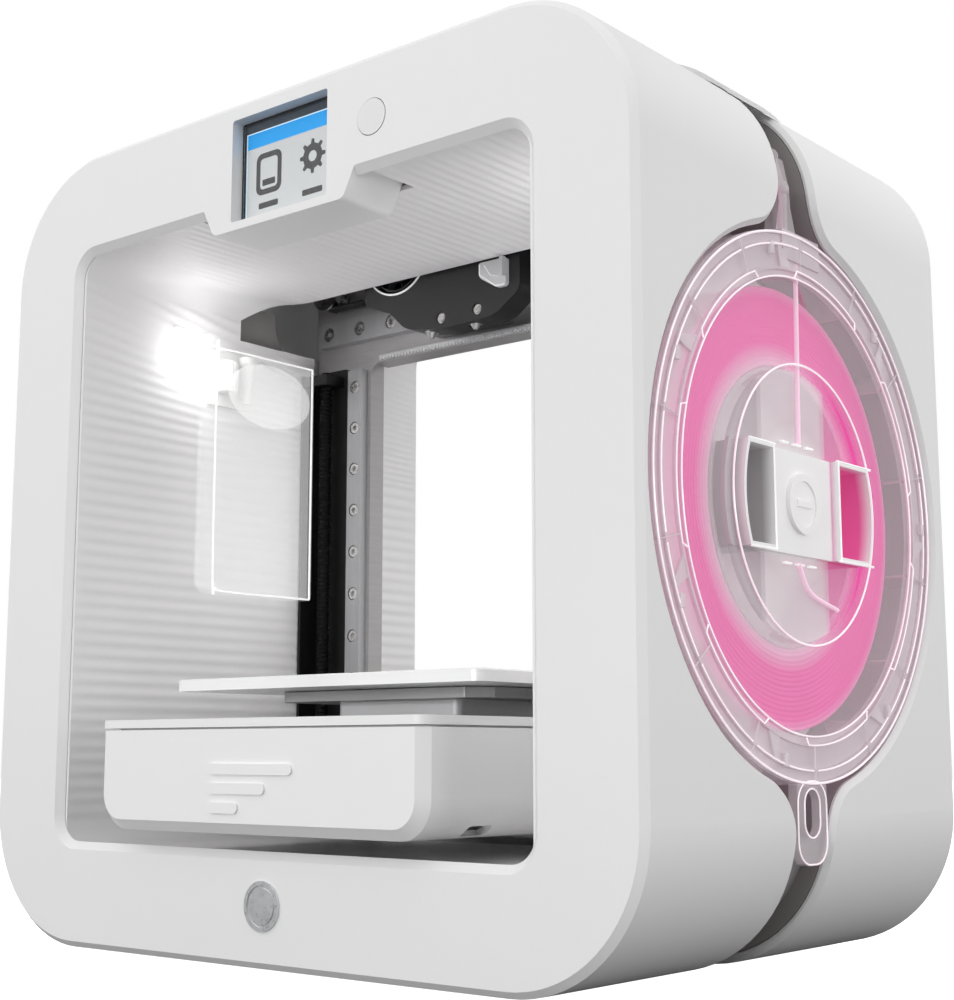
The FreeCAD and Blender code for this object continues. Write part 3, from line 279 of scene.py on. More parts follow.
def moulded(name, color, roughness=0.4, grain=900.0, depth=0.6, mottle=0.05, spread=0.1, **sockets):
    """Moulded plastic or rubber: fine tool grain, slightly uneven gloss and tint."""
    material, tree, shader = blank(name, **sockets)
    tint = use(tree, MOTTLE, Color=color, Amount=mottle, Scale=24.0)
    skin = use(tree, GRAIN, Scale=grain, Depth=depth, Roughness=roughness, Spread=spread)
    marks = use(tree, MARKS, Amount=0.12)
    gloss = arithmetic(tree, "ADD", skin["Roughness"], marks["Mask"], clamp=True)
    finish_skin(tree, shader, tint["Color"], gloss, skin["Height"], 0.25, 0.0002)
    return material


def metal(name, color, roughness=0.35, stretch=(40.0, 900.0, 900.0), contrast=0.25, metallic=1.0):
    """Rolled, drawn or turned metal with fine lines."""
    material, tree, shader = blank(name, Metallic=metallic)
    lines = use(tree, BRUSHED, Stretch=stretch, Depth=0.5, Color=color, Contrast=contrast,
                Roughness=roughness)
    finish_skin(tree, shader, lines["Color"], lines["Roughness"], lines["Height"], 0.15, 0.0002)
    return material


def clear_plastic(name, color, roughness, transmission, **sockets):
    """Clear or frosted moulding: nearly smooth, with faint flow ripples."""
    material, tree, shader = blank(name, Transmission_Weight=transmission, IOR=1.46, **sockets)
    tint = use(tree, MOTTLE, Color=color, Amount=0.04, Scale=35.0)
    skin = use(tree, GRAIN, Scale=160.0, Depth=0.3, Roughness=roughness, Spread=0.05)
    finish_skin(tree, shader, tint["Color"], skin["Roughness"], skin["Height"], 0.2, 0.0003)
    return material


def glowing(name, color, strength):
    """Lit surface with a slightly uneven brightness."""
    material, tree, shader = blank(name, Emission_Strength=strength, Roughness=0.5, Specular_IOR_Level=0.1)
    tint = use(tree, MOTTLE, Color=color, Amount=0.04, Scale=60.0)["Color"]
    tree.links.new(tint, shader.inputs["Base Color"])
    tree.links.new(tint, shader.inputs["Emission Color"])
    return material


shell_white = moulded("satin white shell", (0.84, 0.84, 0.84), 0.42, 1100.0, 0.5, 0.015, 0.06,
                      Coat_Weight=0.08, Coat_Roughness=0.25)
recess_taupe = moulded("taupe recess plastic", (0.34, 0.318, 0.318), 0.5, 800.0, 0.7, 0.05)
liner_frost = moulded("frosted liner", (0.88, 0.87, 0.875), 0.38, 700.0, 0.4, 0.05)
stage_white = moulded("white stage plastic", (0.88, 0.88, 0.88), 0.38, 1200.0, 0.4, 0.015)
plate_white = moulded("white coated plate", (0.86, 0.86, 0.865), 0.22, 500.0, 0.3, 0.02, Coat_Weight=0.3,
                      Coat_Roughness=0.1)
button_white = moulded("white button", (0.80, 0.80, 0.80), 0.33, 1000.0, 0.3, 0.02)
wiper_white = moulded("white nylon", (0.84, 0.84, 0.83), 0.45, 600.0, 0.6, 0.03)
head_black = moulded("matt black head", (0.012, 0.012, 0.013), 0.42, 900.0, 0.9, 0.3)
fan_black = moulded("black fan plastic", (0.02, 0.02, 0.02), 0.35, 900.0, 0.5, 0.2)
drive_black = moulded("black drive cover", (0.004, 0.004, 0.004), 0.5, 900.0, 0.6, 0.3)
motor_black = moulded("black motor paint", (0.02, 0.02, 0.022), 0.38, 1200.0, 0.8, 0.2)
belt_rubber = moulded("belt rubber", (0.015, 0.015, 0.015), 0.65, 1500.0, 0.9, 0.2)
foot_rubber = moulded("foot rubber", (0.25, 0.25, 0.25), 0.7, 1200.0, 0.9, 0.15)
holder_dark = metal("dark anodised holder", (0.37, 0.37, 0.375), 0.42, (30.0, 700.0, 700.0), 0.3, 0.5)
socket_black = moulded("black inlet", (0.02, 0.02, 0.02), 0.4)
bracket_grey = moulded("smoked bracket", (0.70, 0.70, 0.71), 0.3, 700.0, 0.3, 0.08, Alpha=0.92)
circuit_green = moulded("green circuit board", (0.02, 0.12, 0.05), 0.3, 500.0, 0.3, 0.3)
sheet_grey = metal("grey zinc sheet", (0.40, 0.39, 0.39), 0.45, (30.0, 30.0, 500.0), 0.35, 0.45)
base_steel = metal("zinc base sheet", (0.55, 0.55, 0.56), 0.4, (30.0, 500.0, 500.0), 0.3)
rail_steel = metal("ground rail steel", (0.42, 0.42, 0.43), 0.35, (700.0, 700.0, 30.0), 0.3, 0.6)
screw_steel = metal("turned screw steel", (0.62, 0.61, 0.60), 0.28, (700.0, 700.0, 700.0), 0.3)
arm_metal = metal("bead-blasted arm", (0.62, 0.62, 0.63), 0.5, (500.0, 500.0, 500.0), 0.15, 0.4)
block_steel = metal("carriage block steel", (0.38, 0.38, 0.39), 0.33, (60.0, 60.0, 700.0), 0.25)
pulley_metal = metal("turned aluminium", (0.72, 0.72, 0.73), 0.25, (900.0, 60.0, 900.0), 0.2)
badge_metal = metal("silver badge", (0.72, 0.73, 0.75), 0.3, (500.0, 60.0, 500.0), 0.2, 0.8)
jet_metal = metal("turned jet metal", (0.62, 0.62, 0.62), 0.3, (700.0, 700.0, 60.0), 0.25)
oiled_steel = moulded("blackened screw steel", (0.003, 0.003, 0.003), 0.5, 900.0, 0.4, 0.2,
                      Specular_IOR_Level=0.15)
filament_pink = moulded("pink filament", (0.80, 0.10, 0.40), 0.35, 600.0, 0.4, 0.2)
filament_white = moulded("white filament", (0.80, 0.79, 0.77), 0.35, 600.0, 0.4, 0.1)
# The bin's bulge gives off white light of its own: painted light, not a lamp.
bin_bulge_painted_glow = moulded("milky bin bulge with painted glow", (0.96, 0.96, 0.96), 0.12, 500.0, 0.2, 0.02, Alpha=0.22,
                      Emission_Color=(1.0, 1.0, 1.0), Emission_Strength=0.5)
# The clear spool gives off a faint light of its own: painted light.
spool_clear_painted_glow = moulded("clear spool with painted glow", (0.92, 0.90, 0.91), 0.2, 500.0, 0.2, 0.05, Alpha=0.35,
                      Emission_Color=(1.0, 0.97, 0.98), Emission_Strength=0.1)
# The clear bin gives off white light of its own: painted light, not a lamp.
bin_clear_painted_glow = moulded("clear waste bin with painted glow", (0.96, 0.96, 0.96), 0.08, 500.0, 0.2, 0.02, Alpha=0.07,
                    Emission_Color=(1.0, 1.0, 1.0), Emission_Strength=0.7)
cover_frost = clear_plastic("frosted top cover", (0.90, 0.90, 0.90), 0.5, 0.35)
# These two edge materials give off light of their own: a painted highlight along rims, rails, beads and
# frames, not lamps.
pink_edge_painted_highlight = clear_plastic("moulded edge with painted highlight", (0.97, 0.93, 0.95), 0.12, 0.3,
                            Emission_Color=(1.0, 0.86, 0.93), Emission_Strength=0.25)
white_edge_painted_highlight = clear_plastic("clear rim with painted highlight", (0.97, 0.97, 0.97), 0.1, 0.3, Emission_Color=(1.0, 1.0, 1.0),
                           Emission_Strength=0.2)
screen_glass = moulded("screen glass", (0.9, 0.9, 0.9), 0.12, 300.0, 0.02, 0.01, 0.02, Alpha=0.03,
                       Specular_IOR_Level=0.1)
screen_white = glowing("lit white screen", (0.62, 0.64, 0.65), 0.12)
screen_blue = glowing("azure banner", (0.0, 0.29, 0.70), 0.4)
screen_pale = glowing("pale screen line", (0.60, 0.80, 0.95), 0.4)
screen_grey = glowing("grey icon", (0.07, 0.07, 0.075), 0.05)
screen_dark = glowing("dark screen border", (0.035, 0.05, 0.07), 0.15)
lamp_lens = glowing("lit lamp lens", (1.0, 1.0, 0.98), 2.0)


PAST_ALL = 1.0             # a radius beyond every cartridge, in metres as the next ones are
WINDOW_R = 0.0835          # clear window of the cover
COVER_R = 0.1003           # edge of the cover's disc
DRUM_WALL_R = 0.0970       # where the back of the case turns into its wall
WOUND_IN_R, WOUND_OUT_R = 0.0515, 0.0860
HUB_CLOUD_R = 0.030
GRIP_HALF = 0.0190         # half the height of the solid grip
POCKET_X = 0.1660          # the pockets lie below this face
REAR_POCKET_Y, FRONT_POCKET_Y = 0.0190, -0.0262


def disc_mask(tree, inner, outer, softness):
    """Mask of a ring about the cartridges' axis. A negative inner radius keeps the middle in."""
    return use(tree, DISC_ZONE, Axis_Y=CARTRIDGE_AXIS_Y, Axis_Z=CARTRIDGE_AXIS_Z, Inner=inner, Outer=outer,
               Softness=softness)["Mask"]


def case_plastic(name, tint):
    """Cartridge cover: a clear window over the winding, a hazy rim round it, clear tube and tail outside."""
    material, tree, shader = blank(name, IOR=1.4)
    window = disc_mask(tree, -0.01, WINDOW_R, 0.001)
    outside = disc_mask(tree, COVER_R, PAST_ALL, 0.0005)
    color = use(tree, MOTTLE, Color=tint, Amount=0.08, Scale=45.0)
    skin = use(tree, GRAIN, Scale=220.0, Depth=0.5, Roughness=0.16, Spread=0.04)
    alpha = arithmetic(tree, "MULTIPLY_ADD", window, -0.33, 0.45)
    alpha = arithmetic(tree, "MULTIPLY_ADD", outside, -0.1, alpha, clamp=True)
    tree.links.new(alpha, shader.inputs["Alpha"])
    finish_skin(tree, shader, color["Color"], skin["Roughness"], skin["Height"], 0.25, 0.0003)
    return material


def case_wall(name, tint):
    """Case of a cartridge: a hazy back and a clear drum wall, giving off its own colour as painted light."""
    material, tree, shader = blank(name, Emission_Strength=0.10)
    wall = disc_mask(tree, DRUM_WALL_R, PAST_ALL, 0.0008)
    color = use(tree, MOTTLE, Color=tint, Amount=0.12, Scale=24.0)
    skin = use(tree, GRAIN, Scale=500.0, Depth=0.2, Roughness=0.28, Spread=0.1)
    tree.links.new(arithmetic(tree, "MULTIPLY_ADD", wall, -0.69, 0.97), shader.inputs["Alpha"])
    finish_skin(tree, shader, color["Color"], skin["Roughness"], skin["Height"], 0.2, 0.0002, adds_painted_glow=True)
    return material


def grip_plastic(name, rear_pocket_tint):
    """Frosted hub giving off its own colour as painted light: a solid pale grip on a hazy disc. The rear
    pocket is tinted by the winding beside it.
    """
    material, tree, shader = blank(name, Emission_Strength=0.12)
    split = place(tree, "ShaderNodeSeparateXYZ")
    tree.links.new(object_coords(tree), split.inputs[0])
    height = arithmetic(tree, "SUBTRACT", split.outputs["Z"], CARTRIDGE_AXIS_Z)
    from_axis = arithmetic(tree, "ABSOLUTE", height)
    grip = ramp(tree, GRIP_HALF, from_axis, 0.0005)
    deep = ramp(tree, POCKET_X, arithmetic(tree, "ABSOLUTE", split.outputs["X"]), 0.004)
    rear = ramp(tree, split.outputs["Y"], REAR_POCKET_Y, 0.001)
    front = ramp(tree, FRONT_POCKET_Y, split.outputs["Y"], 0.001)
    # The front pocket's darker grey is painted shade in the recess.
    surface = mix_colors(tree, arithmetic(tree, "MULTIPLY", deep, front), (0.88, 0.87, 0.875),
                         (0.45, 0.43, 0.44))
    surface = mix_colors(tree, arithmetic(tree, "MULTIPLY", deep, rear), surface, rear_pocket_tint)
    color = use(tree, MOTTLE, Color=surface, Amount=0.12, Scale=40.0)
    skin = use(tree, GRAIN, Scale=400.0, Depth=0.4, Roughness=0.3, Spread=0.08)
    alpha = arithmetic(tree, "MULTIPLY_ADD", disc_mask(tree, -0.04, HUB_CLOUD_R, 0.022), 0.45, 0.30)
    alpha = arithmetic(tree, "MAXIMUM", alpha, arithmetic(tree, "MULTIPLY", grip, 0.97))
    tree.links.new(alpha, shader.inputs["Alpha"])
    finish_skin(tree, shader, color["Color"], skin["Roughness"], skin["Height"], 0.2, 0.0002, adds_painted_glow=True)
    return material


def wound_plastic(name, tint, haze, glow):
    """Wound strand behind the frosted cover, giving off its own colour as painted light: its inner and outer
    edges melt into the haze.
    """
    material, tree, shader = blank(name, Emission_Strength=glow)
    band = disc_mask(tree, WOUND_IN_R, WOUND_OUT_R, 0.009)
    color = use(tree, MOTTLE, Color=mix_colors(tree, band, haze, tint), Amount=0.18, Scale=24.0)
    skin = use(tree, GRAIN, Scale=600.0, Depth=0.4, Roughness=0.38, Spread=0.1)
    finish_skin(tree, shader, color["Color"], skin["Roughness"], skin["Height"], 0.2, 0.0002, adds_painted_glow=True)
    return material


shroud_plastic = moulded("clear guide shroud", (0.95, 0.92, 0.94), 0.15, 400.0, 0.3, 0.06, Alpha=0.3)
# Gives off pale pink light of its own: painted light on the strand traces.
pale_pink_painted_glow = moulded("strand seen through haze, painted glow", (0.90, 0.62, 0.76), 0.4, 500.0, 0.2, 0.1,
                    Emission_Color=(0.95, 0.65, 0.80), Emission_Strength=0.3)
case_haze_painted_glow = case_wall("hazy case wall with painted glow", (0.90, 0.87, 0.885))
case_clear = case_plastic("clear cartridge case", (0.95, 0.88, 0.915))
left_case_clear = case_plastic("clear left case", (0.92, 0.92, 0.92))
grip_frost_painted_light = grip_plastic("frosted hub grip, painted light", (0.88, 0.20, 0.50))
left_grip_frost_painted_light = grip_plastic("frosted left hub grip, painted light", (0.66, 0.66, 0.65))
wound_pink_painted_glow = wound_plastic("wound pink strand", (0.90, 0.07, 0.42), (0.85, 0.55, 0.70), 0.16)
wound_white_painted_glow = wound_plastic("wound white strand", (0.80, 0.79, 0.77), (0.74, 0.73, 0.72), 0.03)

FINISH = [
    (shell_white, "front_shell rear_shell"),
    (recess_taupe, "waist_frame right_bay left_bay"),
    (liner_frost, "front_liner rear_liner"),
    (base_steel, "base_pan"),
    (circuit_green, "controller_board"),
    (socket_black, "power_inlet"),
    (sheet_grey, "gantry_frame stage_arms"),
    (rail_steel, "z_rails x_rail y_rail"),
    (screw_steel, "rail_screws head_screws"),
    (oiled_steel, "z_screw_left z_screw_right"),
    (drive_black, "z_channels"),
    (motor_black, "z_motors x_motor y_motor"),
    (belt_rubber, "x_belt y_belt"),
    (screen_dark, "display_panel"),
    (screen_glass, "display_window"),
    (badge_metal, "sill_badge"),
    (lamp_lens, "chamber_lights"),
    (foot_rubber, "feet"),
    (wiper_white, "nozzle_wiper"),
    (button_white, "power_button"),
    (bin_clear_painted_glow, "waste_bin"),
    (pulley_metal, "x_pulley x_idler"),
    (block_steel, "head_block z_bearings"),
    (head_black, "head_shell"),
    (jet_metal, "head_jets"),
    (bracket_grey, "sensor_bracket"),
    (fan_black, "head_fan"),
    (stage_white, "stage_housing stage_lid stage_emblem"),
    (arm_metal, "carriage_arm"),
    (holder_dark, "plate_holder"),
    (plate_white, "print_plate"),
    (case_haze_painted_glow, "right_case left_case"),
    (case_clear, "right_cover right_tail"),
    (left_case_clear, "left_cover left_tail"),
    (grip_frost_painted_light, "right_hub_grip"),
    (left_grip_frost_painted_light, "left_hub_grip"),
    (spool_clear_painted_glow, "right_spool left_spool"),
    (wound_pink_painted_glow, "right_filament"),
    (wound_white_painted_glow, "left_filament"),
    (cover_frost, "top_cover"),
]
finish_of = {name: finish for finish, names in FINISH for name in names.split()}
for name, node in nodes.items():
    if not node.material_slots:
        node.data.materials.append(None)
    for material_slot in node.material_slots:
        material_slot.material = finish_of.get(name, shell_white)


# ---- mesh tools ----
def put(name, data):
    """A new object in the scene."""
    thing = bpy.data.objects.new(name, data)
    bpy.context.scene.collection.objects.link(thing)
    return thing


def made(bm, name, body, material, replaced=(), smooth_angle=35.0):
    """Turns a bmesh into a piece that rides on a body."""
    bmesh.ops.recalc_face_normals(bm, faces=bm.faces)
    mesh = bpy.data.meshes.new(name)
    bm.to_mesh(mesh)
    bm.free()
    mesh.materials.append(material)
    mesh.shade_smooth()
    mesh.set_sharp_from_angle(angle=math.radians(smooth_angle))
    piece = put(name, mesh)
    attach(piece, body)
    if replaced:
        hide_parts(*replaced)
    return piece


def add_block(bm, lo, hi, bevel=0.0, segments=2):
    """A block with softened edges, given in millimetres."""
    fresh = bmesh.ops.create_cube(bm, size=1.0)["verts"]
    for vert in fresh:
        vert.co = Vector([(lo[i] + hi[i]) / 2 + vert.co[i] * (hi[i] - lo[i]) for i in range(3)]) * MM
    if bevel > 0:
        edges = list({edge for vert in fresh for edge in vert.link_edges})
        bmesh.ops.bevel(bm, geom=edges, offset=bevel * MM, segments=segments, profile=0.5, affect="EDGES")


def axis_frame(axis):
    """Two directions across an axis and the axis itself."""
    named = {"x": Vector((1, 0, 0)), "y": Vector((0, 1, 0)), "z": Vector((0, 0, 1))}
    along = named[axis] if isinstance(axis, str) else axis.normalized()
    other = Vector((0, 0, 1)) if abs(along.z) < 0.9 else Vector((0, 1, 0))
    first = along.cross(other).normalized()
    return first, along.cross(first).normalized(), along


def join_rings(bm, rings, closed=False):
    """Faces between each ring and the next. A ring of one vertex is a point.

    closed also joins the last to the first.
    """
    for here, there in list(zip(rings, rings[1:])) + ([(rings[-1], rings[0])] if closed else []):
        count = max(len(here), len(there))
        for k in range(count if count > 1 else 0):
            nxt = (k + 1) % count
            if len(here) == 1:
                bm.faces.new((here[0], there[k], there[nxt]))
            elif len(there) == 1:
                bm.faces.new((here[k], here[nxt], there[0]))
            else:
                bm.faces.new((here[k], here[nxt], there[nxt], there[k]))


def circle(radius, count, centre=(0.0, 0.0), squash=1.0):
    """Points round a circle, or an oval squashed in its second direction."""
    turns = [2 * math.pi * k / count for k in range(count)]
    return [(centre[0] + radius * math.cos(a), centre[1] + radius * squash * math.sin(a)) for a in turns]


def add_lathe(bm, centre, axis, profile, segments=32, closed=False):
    """A turned shape. profile is (radius, distance along the axis), all in millimetres."""
    first, second, along = axis_frame(axis)
    centre = Vector(centre)
    rings = []
    for radius, distance in profile:
        middle = centre + along * distance
        if radius < 1e-6:
            rings.append([bm.verts.new(middle * MM)])
        else:
            ring = [middle + first * u + second * v for u, v in circle(radius, segments)]
            rings.append([bm.verts.new(point * MM) for point in ring])
    join_rings(bm, rings, closed)


def add_sweep(bm, path, radius, segments=6, caps=True):
    """A rod along a path of points in millimetres."""
    points = [Vector(p) for p in path]
    rings = []
    side = axis_frame((points[1] - points[0]).normalized())[0]
    for i, point in enumerate(points):
        along = (points[min(i + 1, len(points) - 1)] - points[max(i - 1, 0)]).normalized()
        side = (side - along * side.dot(along)).normalized()
        other = along.cross(side)
        rings.append([bm.verts.new((point + side * u + other * v) * MM) for u, v in circle(radius, segments)])
    join_rings(bm, rings)
    if caps:
        bm.faces.new(rings[0])
        bm.faces.new(rings[-1])


def smooth_path(points, per_span=8):
    """Catmull-Rom curve through points."""
    pts = [Vector(p) for p in points]
    pts = [pts[0] * 2 - pts[1]] + pts + [pts[-1] * 2 - pts[-2]]
    out = []
    for i in range(1, len(pts) - 2):
        a, b, c, d = pts[i - 1:i + 3]
        for k in range(per_span):
            t = k / per_span
            bend = (a * 2 - b * 5 + c * 4 - d) * t * t + (b * 3 - a - c * 3 + d) * t ** 3
            out.append((b * 2 + (c - a) * t + bend) / 2)
    out.append(pts[-2])
    return out


def add_plate(bm, outline, low_at, high_at, axis="y"):
    """A flat plate from an outline of (u, v) pairs in millimetres, extruded along an axis."""
    def level(at):
        corners = {"x": [(at, u, v) for u, v in outline], "y": [(u, at, v) for u, v in outline],
                   "z": [(u, v, at) for u, v in outline]}[axis]
        return [bm.verts.new(Vector(corner) * MM) for corner in corners]

    bottom, top = level(low_at), level(high_at)
    bm.faces.new(bottom)
    bm.faces.new(list(reversed(top)))
    join_rings(bm, [bottom, top])


def rounded(u0, u1, v0, v1, r, steps=5):
    """Outline of a rectangle with round corners."""
    out = []
    for cu, cv, start in ((u1 - r, v0 + r, -90), (u1 - r, v1 - r, 0), (u0 + r, v1 - r, 90),
                          (u0 + r, v0 + r, 180)):
        for k in range(steps + 1):
            a = math.radians(start + 90 * k / steps)
            out.append((cu + r * math.cos(a), cv + r * math.sin(a)))
    return out


# ---- chamber liners with their soft ribs ----
RIB_PITCH = 5.5
RIB_HEIGHT = 0.5
WALL_HALF = 122.0
FLOOR_Z = low("front_liner").z / MM + 2.0
CEILING_Z = high("front_liner").z / MM - 2.0
LINER_FRONT = low("front_liner").y / MM
LINER_BACK = high("front_liner").y / MM
LINER_WALL = 1.9
CEILING_BACK = 6.0         # the ceiling ends here, in front of the print head
CEILING_TURN_R = 24.0
CEILING_TURN_X = 98.0
NOTCH_Z = 271.5            # above this the liner is cut back to the ceiling's end
TONGUE_HALF = 47.0         # the ceiling starts behind the display housing over this half width
TONGUE_TOP = 280.0
TONGUE_BACK = -83.5
CORNER_R = 10.0
CORNER_STEPS = 6
SIDE_WALL_X = 110.0
LEAN_FROM_Z, LEAN_OVER = 215.0, 55.0   # the side walls' grooves lean over this stretch
LEAN = 0.2


def liner_section(half, floor, ceiling, r, step):
    """Points (x, z, normal x, normal z, length along) round a liner's inside, from low left over the top."""
    points = []
    length = 0.0

    def run(x0, z0, x1, z1, nx, nz):
        nonlocal length
        distance = math.hypot(x1 - x0, z1 - z0)
        count = max(1, int(distance / step))
        for k in range(count):
            share = k / count
            points.append((x0 + (x1 - x0) * share, z0 + (z1 - z0) * share, nx, nz, length + distance * share))
        length += distance

    def turn(cx, cz, start):
        nonlocal length
        for k in range(CORNER_STEPS):
            turned = math.pi / 2 * k / CORNER_STEPS
            a = math.radians(start) - turned
            points.append((cx + r * math.cos(a), cz + r * math.sin(a), -math.cos(a), -math.sin(a),
                           length + r * turned))
        length += r * math.pi / 2

    run(-half, floor + r, -half, ceiling - r, 1, 0)
    turn(-half + r, ceiling - r, 180)
    run(-half + r, ceiling, half - r, ceiling, 0, -1)
    turn(half - r, ceiling - r, 90)
    run(half, ceiling - r, half, floor + r, -1, 0)
    turn(half - r, floor + r, 0)
    run(half - r, floor, -half + r, floor, 0, 1)
    turn(-half + r, floor + r, -90)
    return points


def rib_lift(x, y, z, along, floor):
    """Depth of the grooves in the wall. They stop on the floor and lean near the top of the side walls."""
    if z < floor + 1.0:
        return 0.0
    lean = LEAN * min(1.0, max(0.0, (z - LEAN_FROM_Z) / LEAN_OVER)) if abs(x) > SIDE_WALL_X else 0.0
    wave = math.sin(2 * math.pi * (along + lean * (y - LINER_FRONT)) / RIB_PITCH)
    return -RIB_HEIGHT * (0.5 + 0.5 * wave)


def add_liner_strip(bm, section, y_start, y_end, floor, y_step=7.0):
    """Skins one stretch of the section: the ribbed face, the plain back and the edges between them."""
    columns = []
    for x, z, nx, nz, along in section:
        y0, y1 = y_start(x, z), y_end(x, z)
        count = max(2, int((LINER_BACK - LINER_FRONT) / y_step))
        inner, outer = [], []
        for k in range(count + 1):
            y = y0 + (y1 - y0) * k / count
            lift = 0.0 if k in (0, count) else rib_lift(x, y, z, along, floor)
            inner.append(bm.verts.new(Vector((x + nx * lift, y, z + nz * lift)) * MM))
            outer.append(bm.verts.new(Vector((x - nx * LINER_WALL, y, z - nz * LINER_WALL)) * MM))
        columns.append((inner, outer))
    for (in_a, out_a), (in_b, out_b) in zip(columns, columns[1:]):
        for k in range(len(in_a) - 1):
            bm.faces.new((in_a[k], in_b[k], in_b[k + 1], in_a[k + 1]))
            bm.faces.new((out_a[k + 1], out_b[k + 1], out_b[k], out_a[k]))
        bm.faces.new((in_a[0], out_a[0], out_b[0], in_b[0]))
        bm.faces.new((in_b[-1], out_b[-1], out_a[-1], in_a[-1]))
    for inner, outer in (columns[0], columns[-1]):
        for k in range(len(inner) - 1):
            bm.faces.new((inner[k], inner[k + 1], outer[k + 1], outer[k]))


def ceiling_end(x, z):
    """Rear edge of the liner: the ceiling stops in front of the print head, with rounded corners."""
    if z < NOTCH_Z:
        return LINER_BACK
    out = min(abs(x) - CEILING_TURN_X, CEILING_TURN_R)
    if out <= 0:
        return CEILING_BACK
    return CEILING_BACK - CEILING_TURN_R + math.sqrt(max(CEILING_TURN_R ** 2 - out ** 2, 0.0))


def front_liner_mesh():
    bm = bmesh.new()
    section = liner_section(WALL_HALF, FLOOR_Z, CEILING_Z, CORNER_R, 0.75)
    loop = section + section[:1]
    stretches, current = [], []

    def zone(point):
        x, z = point[0], point[1]
        return z >= NOTCH_Z, z > TONGUE_TOP and abs(x) < TONGUE_HALF

    for point in loop:
        current.append(point)
        if zone(point) != zone(current[0]):
            stretches.append(current)
            current = [point]
    stretches.append(current)
    for stretch in stretches:
        high_part, over_tongue = zone(stretch[0])
        start = TONGUE_BACK if over_tongue else LINER_FRONT
        end = ceiling_end if high_part else (lambda x, z: LINER_BACK)
        add_liner_strip(bm, stretch, lambda x, z: start, end, FLOOR_Z)
    return bm


made(front_liner_mesh(), "ribbed_front_liner", "housing", liner_frost, ("front_liner",), 60.0)

rear_low, rear_high = low("rear_liner") / MM, high("rear_liner") / MM
rear_floor = rear_low.z + 2
rear_section = liner_section(rear_high.x - 2, rear_floor, rear_high.z - 2, CORNER_R, 0.75)
bm = bmesh.new()
add_liner_strip(bm, rear_section + rear_section[:1], lambda x, z: rear_low.y, lambda x, z: rear_high.y,
                rear_floor, 20.0)
made(bm, "ribbed_rear_liner", "housing", liner_frost, ("rear_liner",), 60.0)

# ---- display ----
SCREEN_LEFT = low("display_window").x / MM
SCREEN_RIGHT = high("display_window").x / MM
SCREEN_FOOT = low("display_window").z / MM
SCREEN_TOP = high("display_window").z / MM
PANEL_Y = low("display_panel").y / MM
LAYER = 0.04


def picture(name, outline, layer, material):
    """A thin lit shape on the face of the display panel."""
    bm = bmesh.new()
    for points in outline:
        add_plate(bm, points, PANEL_Y - LAYER * (layer + 1), PANEL_Y - LAYER * layer)
    return made(bm, name, "housing", material, (), 20.0)


BANNER_TOP = SCREEN_TOP - 4.5
BANNER_FOOT = BANNER_TOP - 6.2
FIELD_LEFT, FIELD_RIGHT, FIELD_FOOT = SCREEN_LEFT + 1.6, SCREEN_RIGHT - 0.3, SCREEN_FOOT + 0.3
LINE_LEFT = SCREEN_LEFT + 1.0
picture("screen_field", [rounded(FIELD_LEFT, FIELD_RIGHT, FIELD_FOOT, BANNER_FOOT, 0.3, 2)], 0, screen_white)
picture("screen_banner", [rounded(FIELD_LEFT, FIELD_RIGHT, BANNER_FOOT, BANNER_TOP, 0.3, 2)], 0, screen_blue)
picture("screen_banner_line", [rounded(LINE_LEFT, FIELD_RIGHT, BANNER_TOP, BANNER_TOP + 0.45, 0.1, 1),
                               rounded(LINE_LEFT, FIELD_LEFT, FIELD_FOOT, BANNER_TOP, 0.1, 1)], 1,
                               screen_pale)


def add_ring_plate(bm, outer, inner, low_at, high_at):
    """A flat frame between two outlines with the same number of points."""
    def level(points, y):
        return [bm.verts.new(Vector((u, y, v)) * MM) for u, v in points]

    rings = [level(outer, low_at), level(inner, low_at), level(inner, high_at), level(outer, high_at)]
    join_rings(bm, rings, True)


def box_about(u, v, half_u, half_v, corner, steps=5):
    """A rounded rectangle about a middle point."""
    return rounded(u - half_u, u + half_u, v - half_v, v + half_v, corner, steps)


ICON_Z = 305.5
TRAY_X = -11.5
GEAR_X = 13.0
LABEL_Z = 292.5
y_far, y_near = PANEL_Y - LAYER, PANEL_Y - 2 * LAYER
bm = bmesh.new()
add_ring_plate(bm, box_about(TRAY_X, ICON_Z, 7.2, 8.6, 3.2), box_about(TRAY_X, ICON_Z, 4.9, 6.3, 1.6),
               y_near, y_far)
add_plate(bm, box_about(TRAY_X, ICON_Z - 3.7, 3.6, 1.3, 0.4), y_near, y_far)
made(bm, "screen_tray_icon", "housing", screen_grey, (), 20.0)

GEAR_TEETH = 8
POINTS_PER_TOOTH = 8
ROOT_R, TIP_R, BORE_R = 5.2, 7.0, 2.2
gear_count = GEAR_TEETH * POINTS_PER_TOOTH
gear_middle = (GEAR_X, ICON_Z + 1.0)
tips, roots = circle(TIP_R, gear_count, gear_middle), circle(ROOT_R, gear_count, gear_middle)
gear_edge = [tips[k] if k % POINTS_PER_TOOTH in (0, 1, 7) else roots[k] for k in range(gear_count)]
bm = bmesh.new()
add_ring_plate(bm, gear_edge, circle(BORE_R, gear_count, gear_middle), y_near, y_far)
made(bm, "screen_gear_icon", "housing", screen_grey, (), 20.0)
picture("screen_labels", [box_about(x, LABEL_Z, 5.5, 1.2, 0.5, 2) for x in (TRAY_X, GEAR_X)], 1, screen_grey)

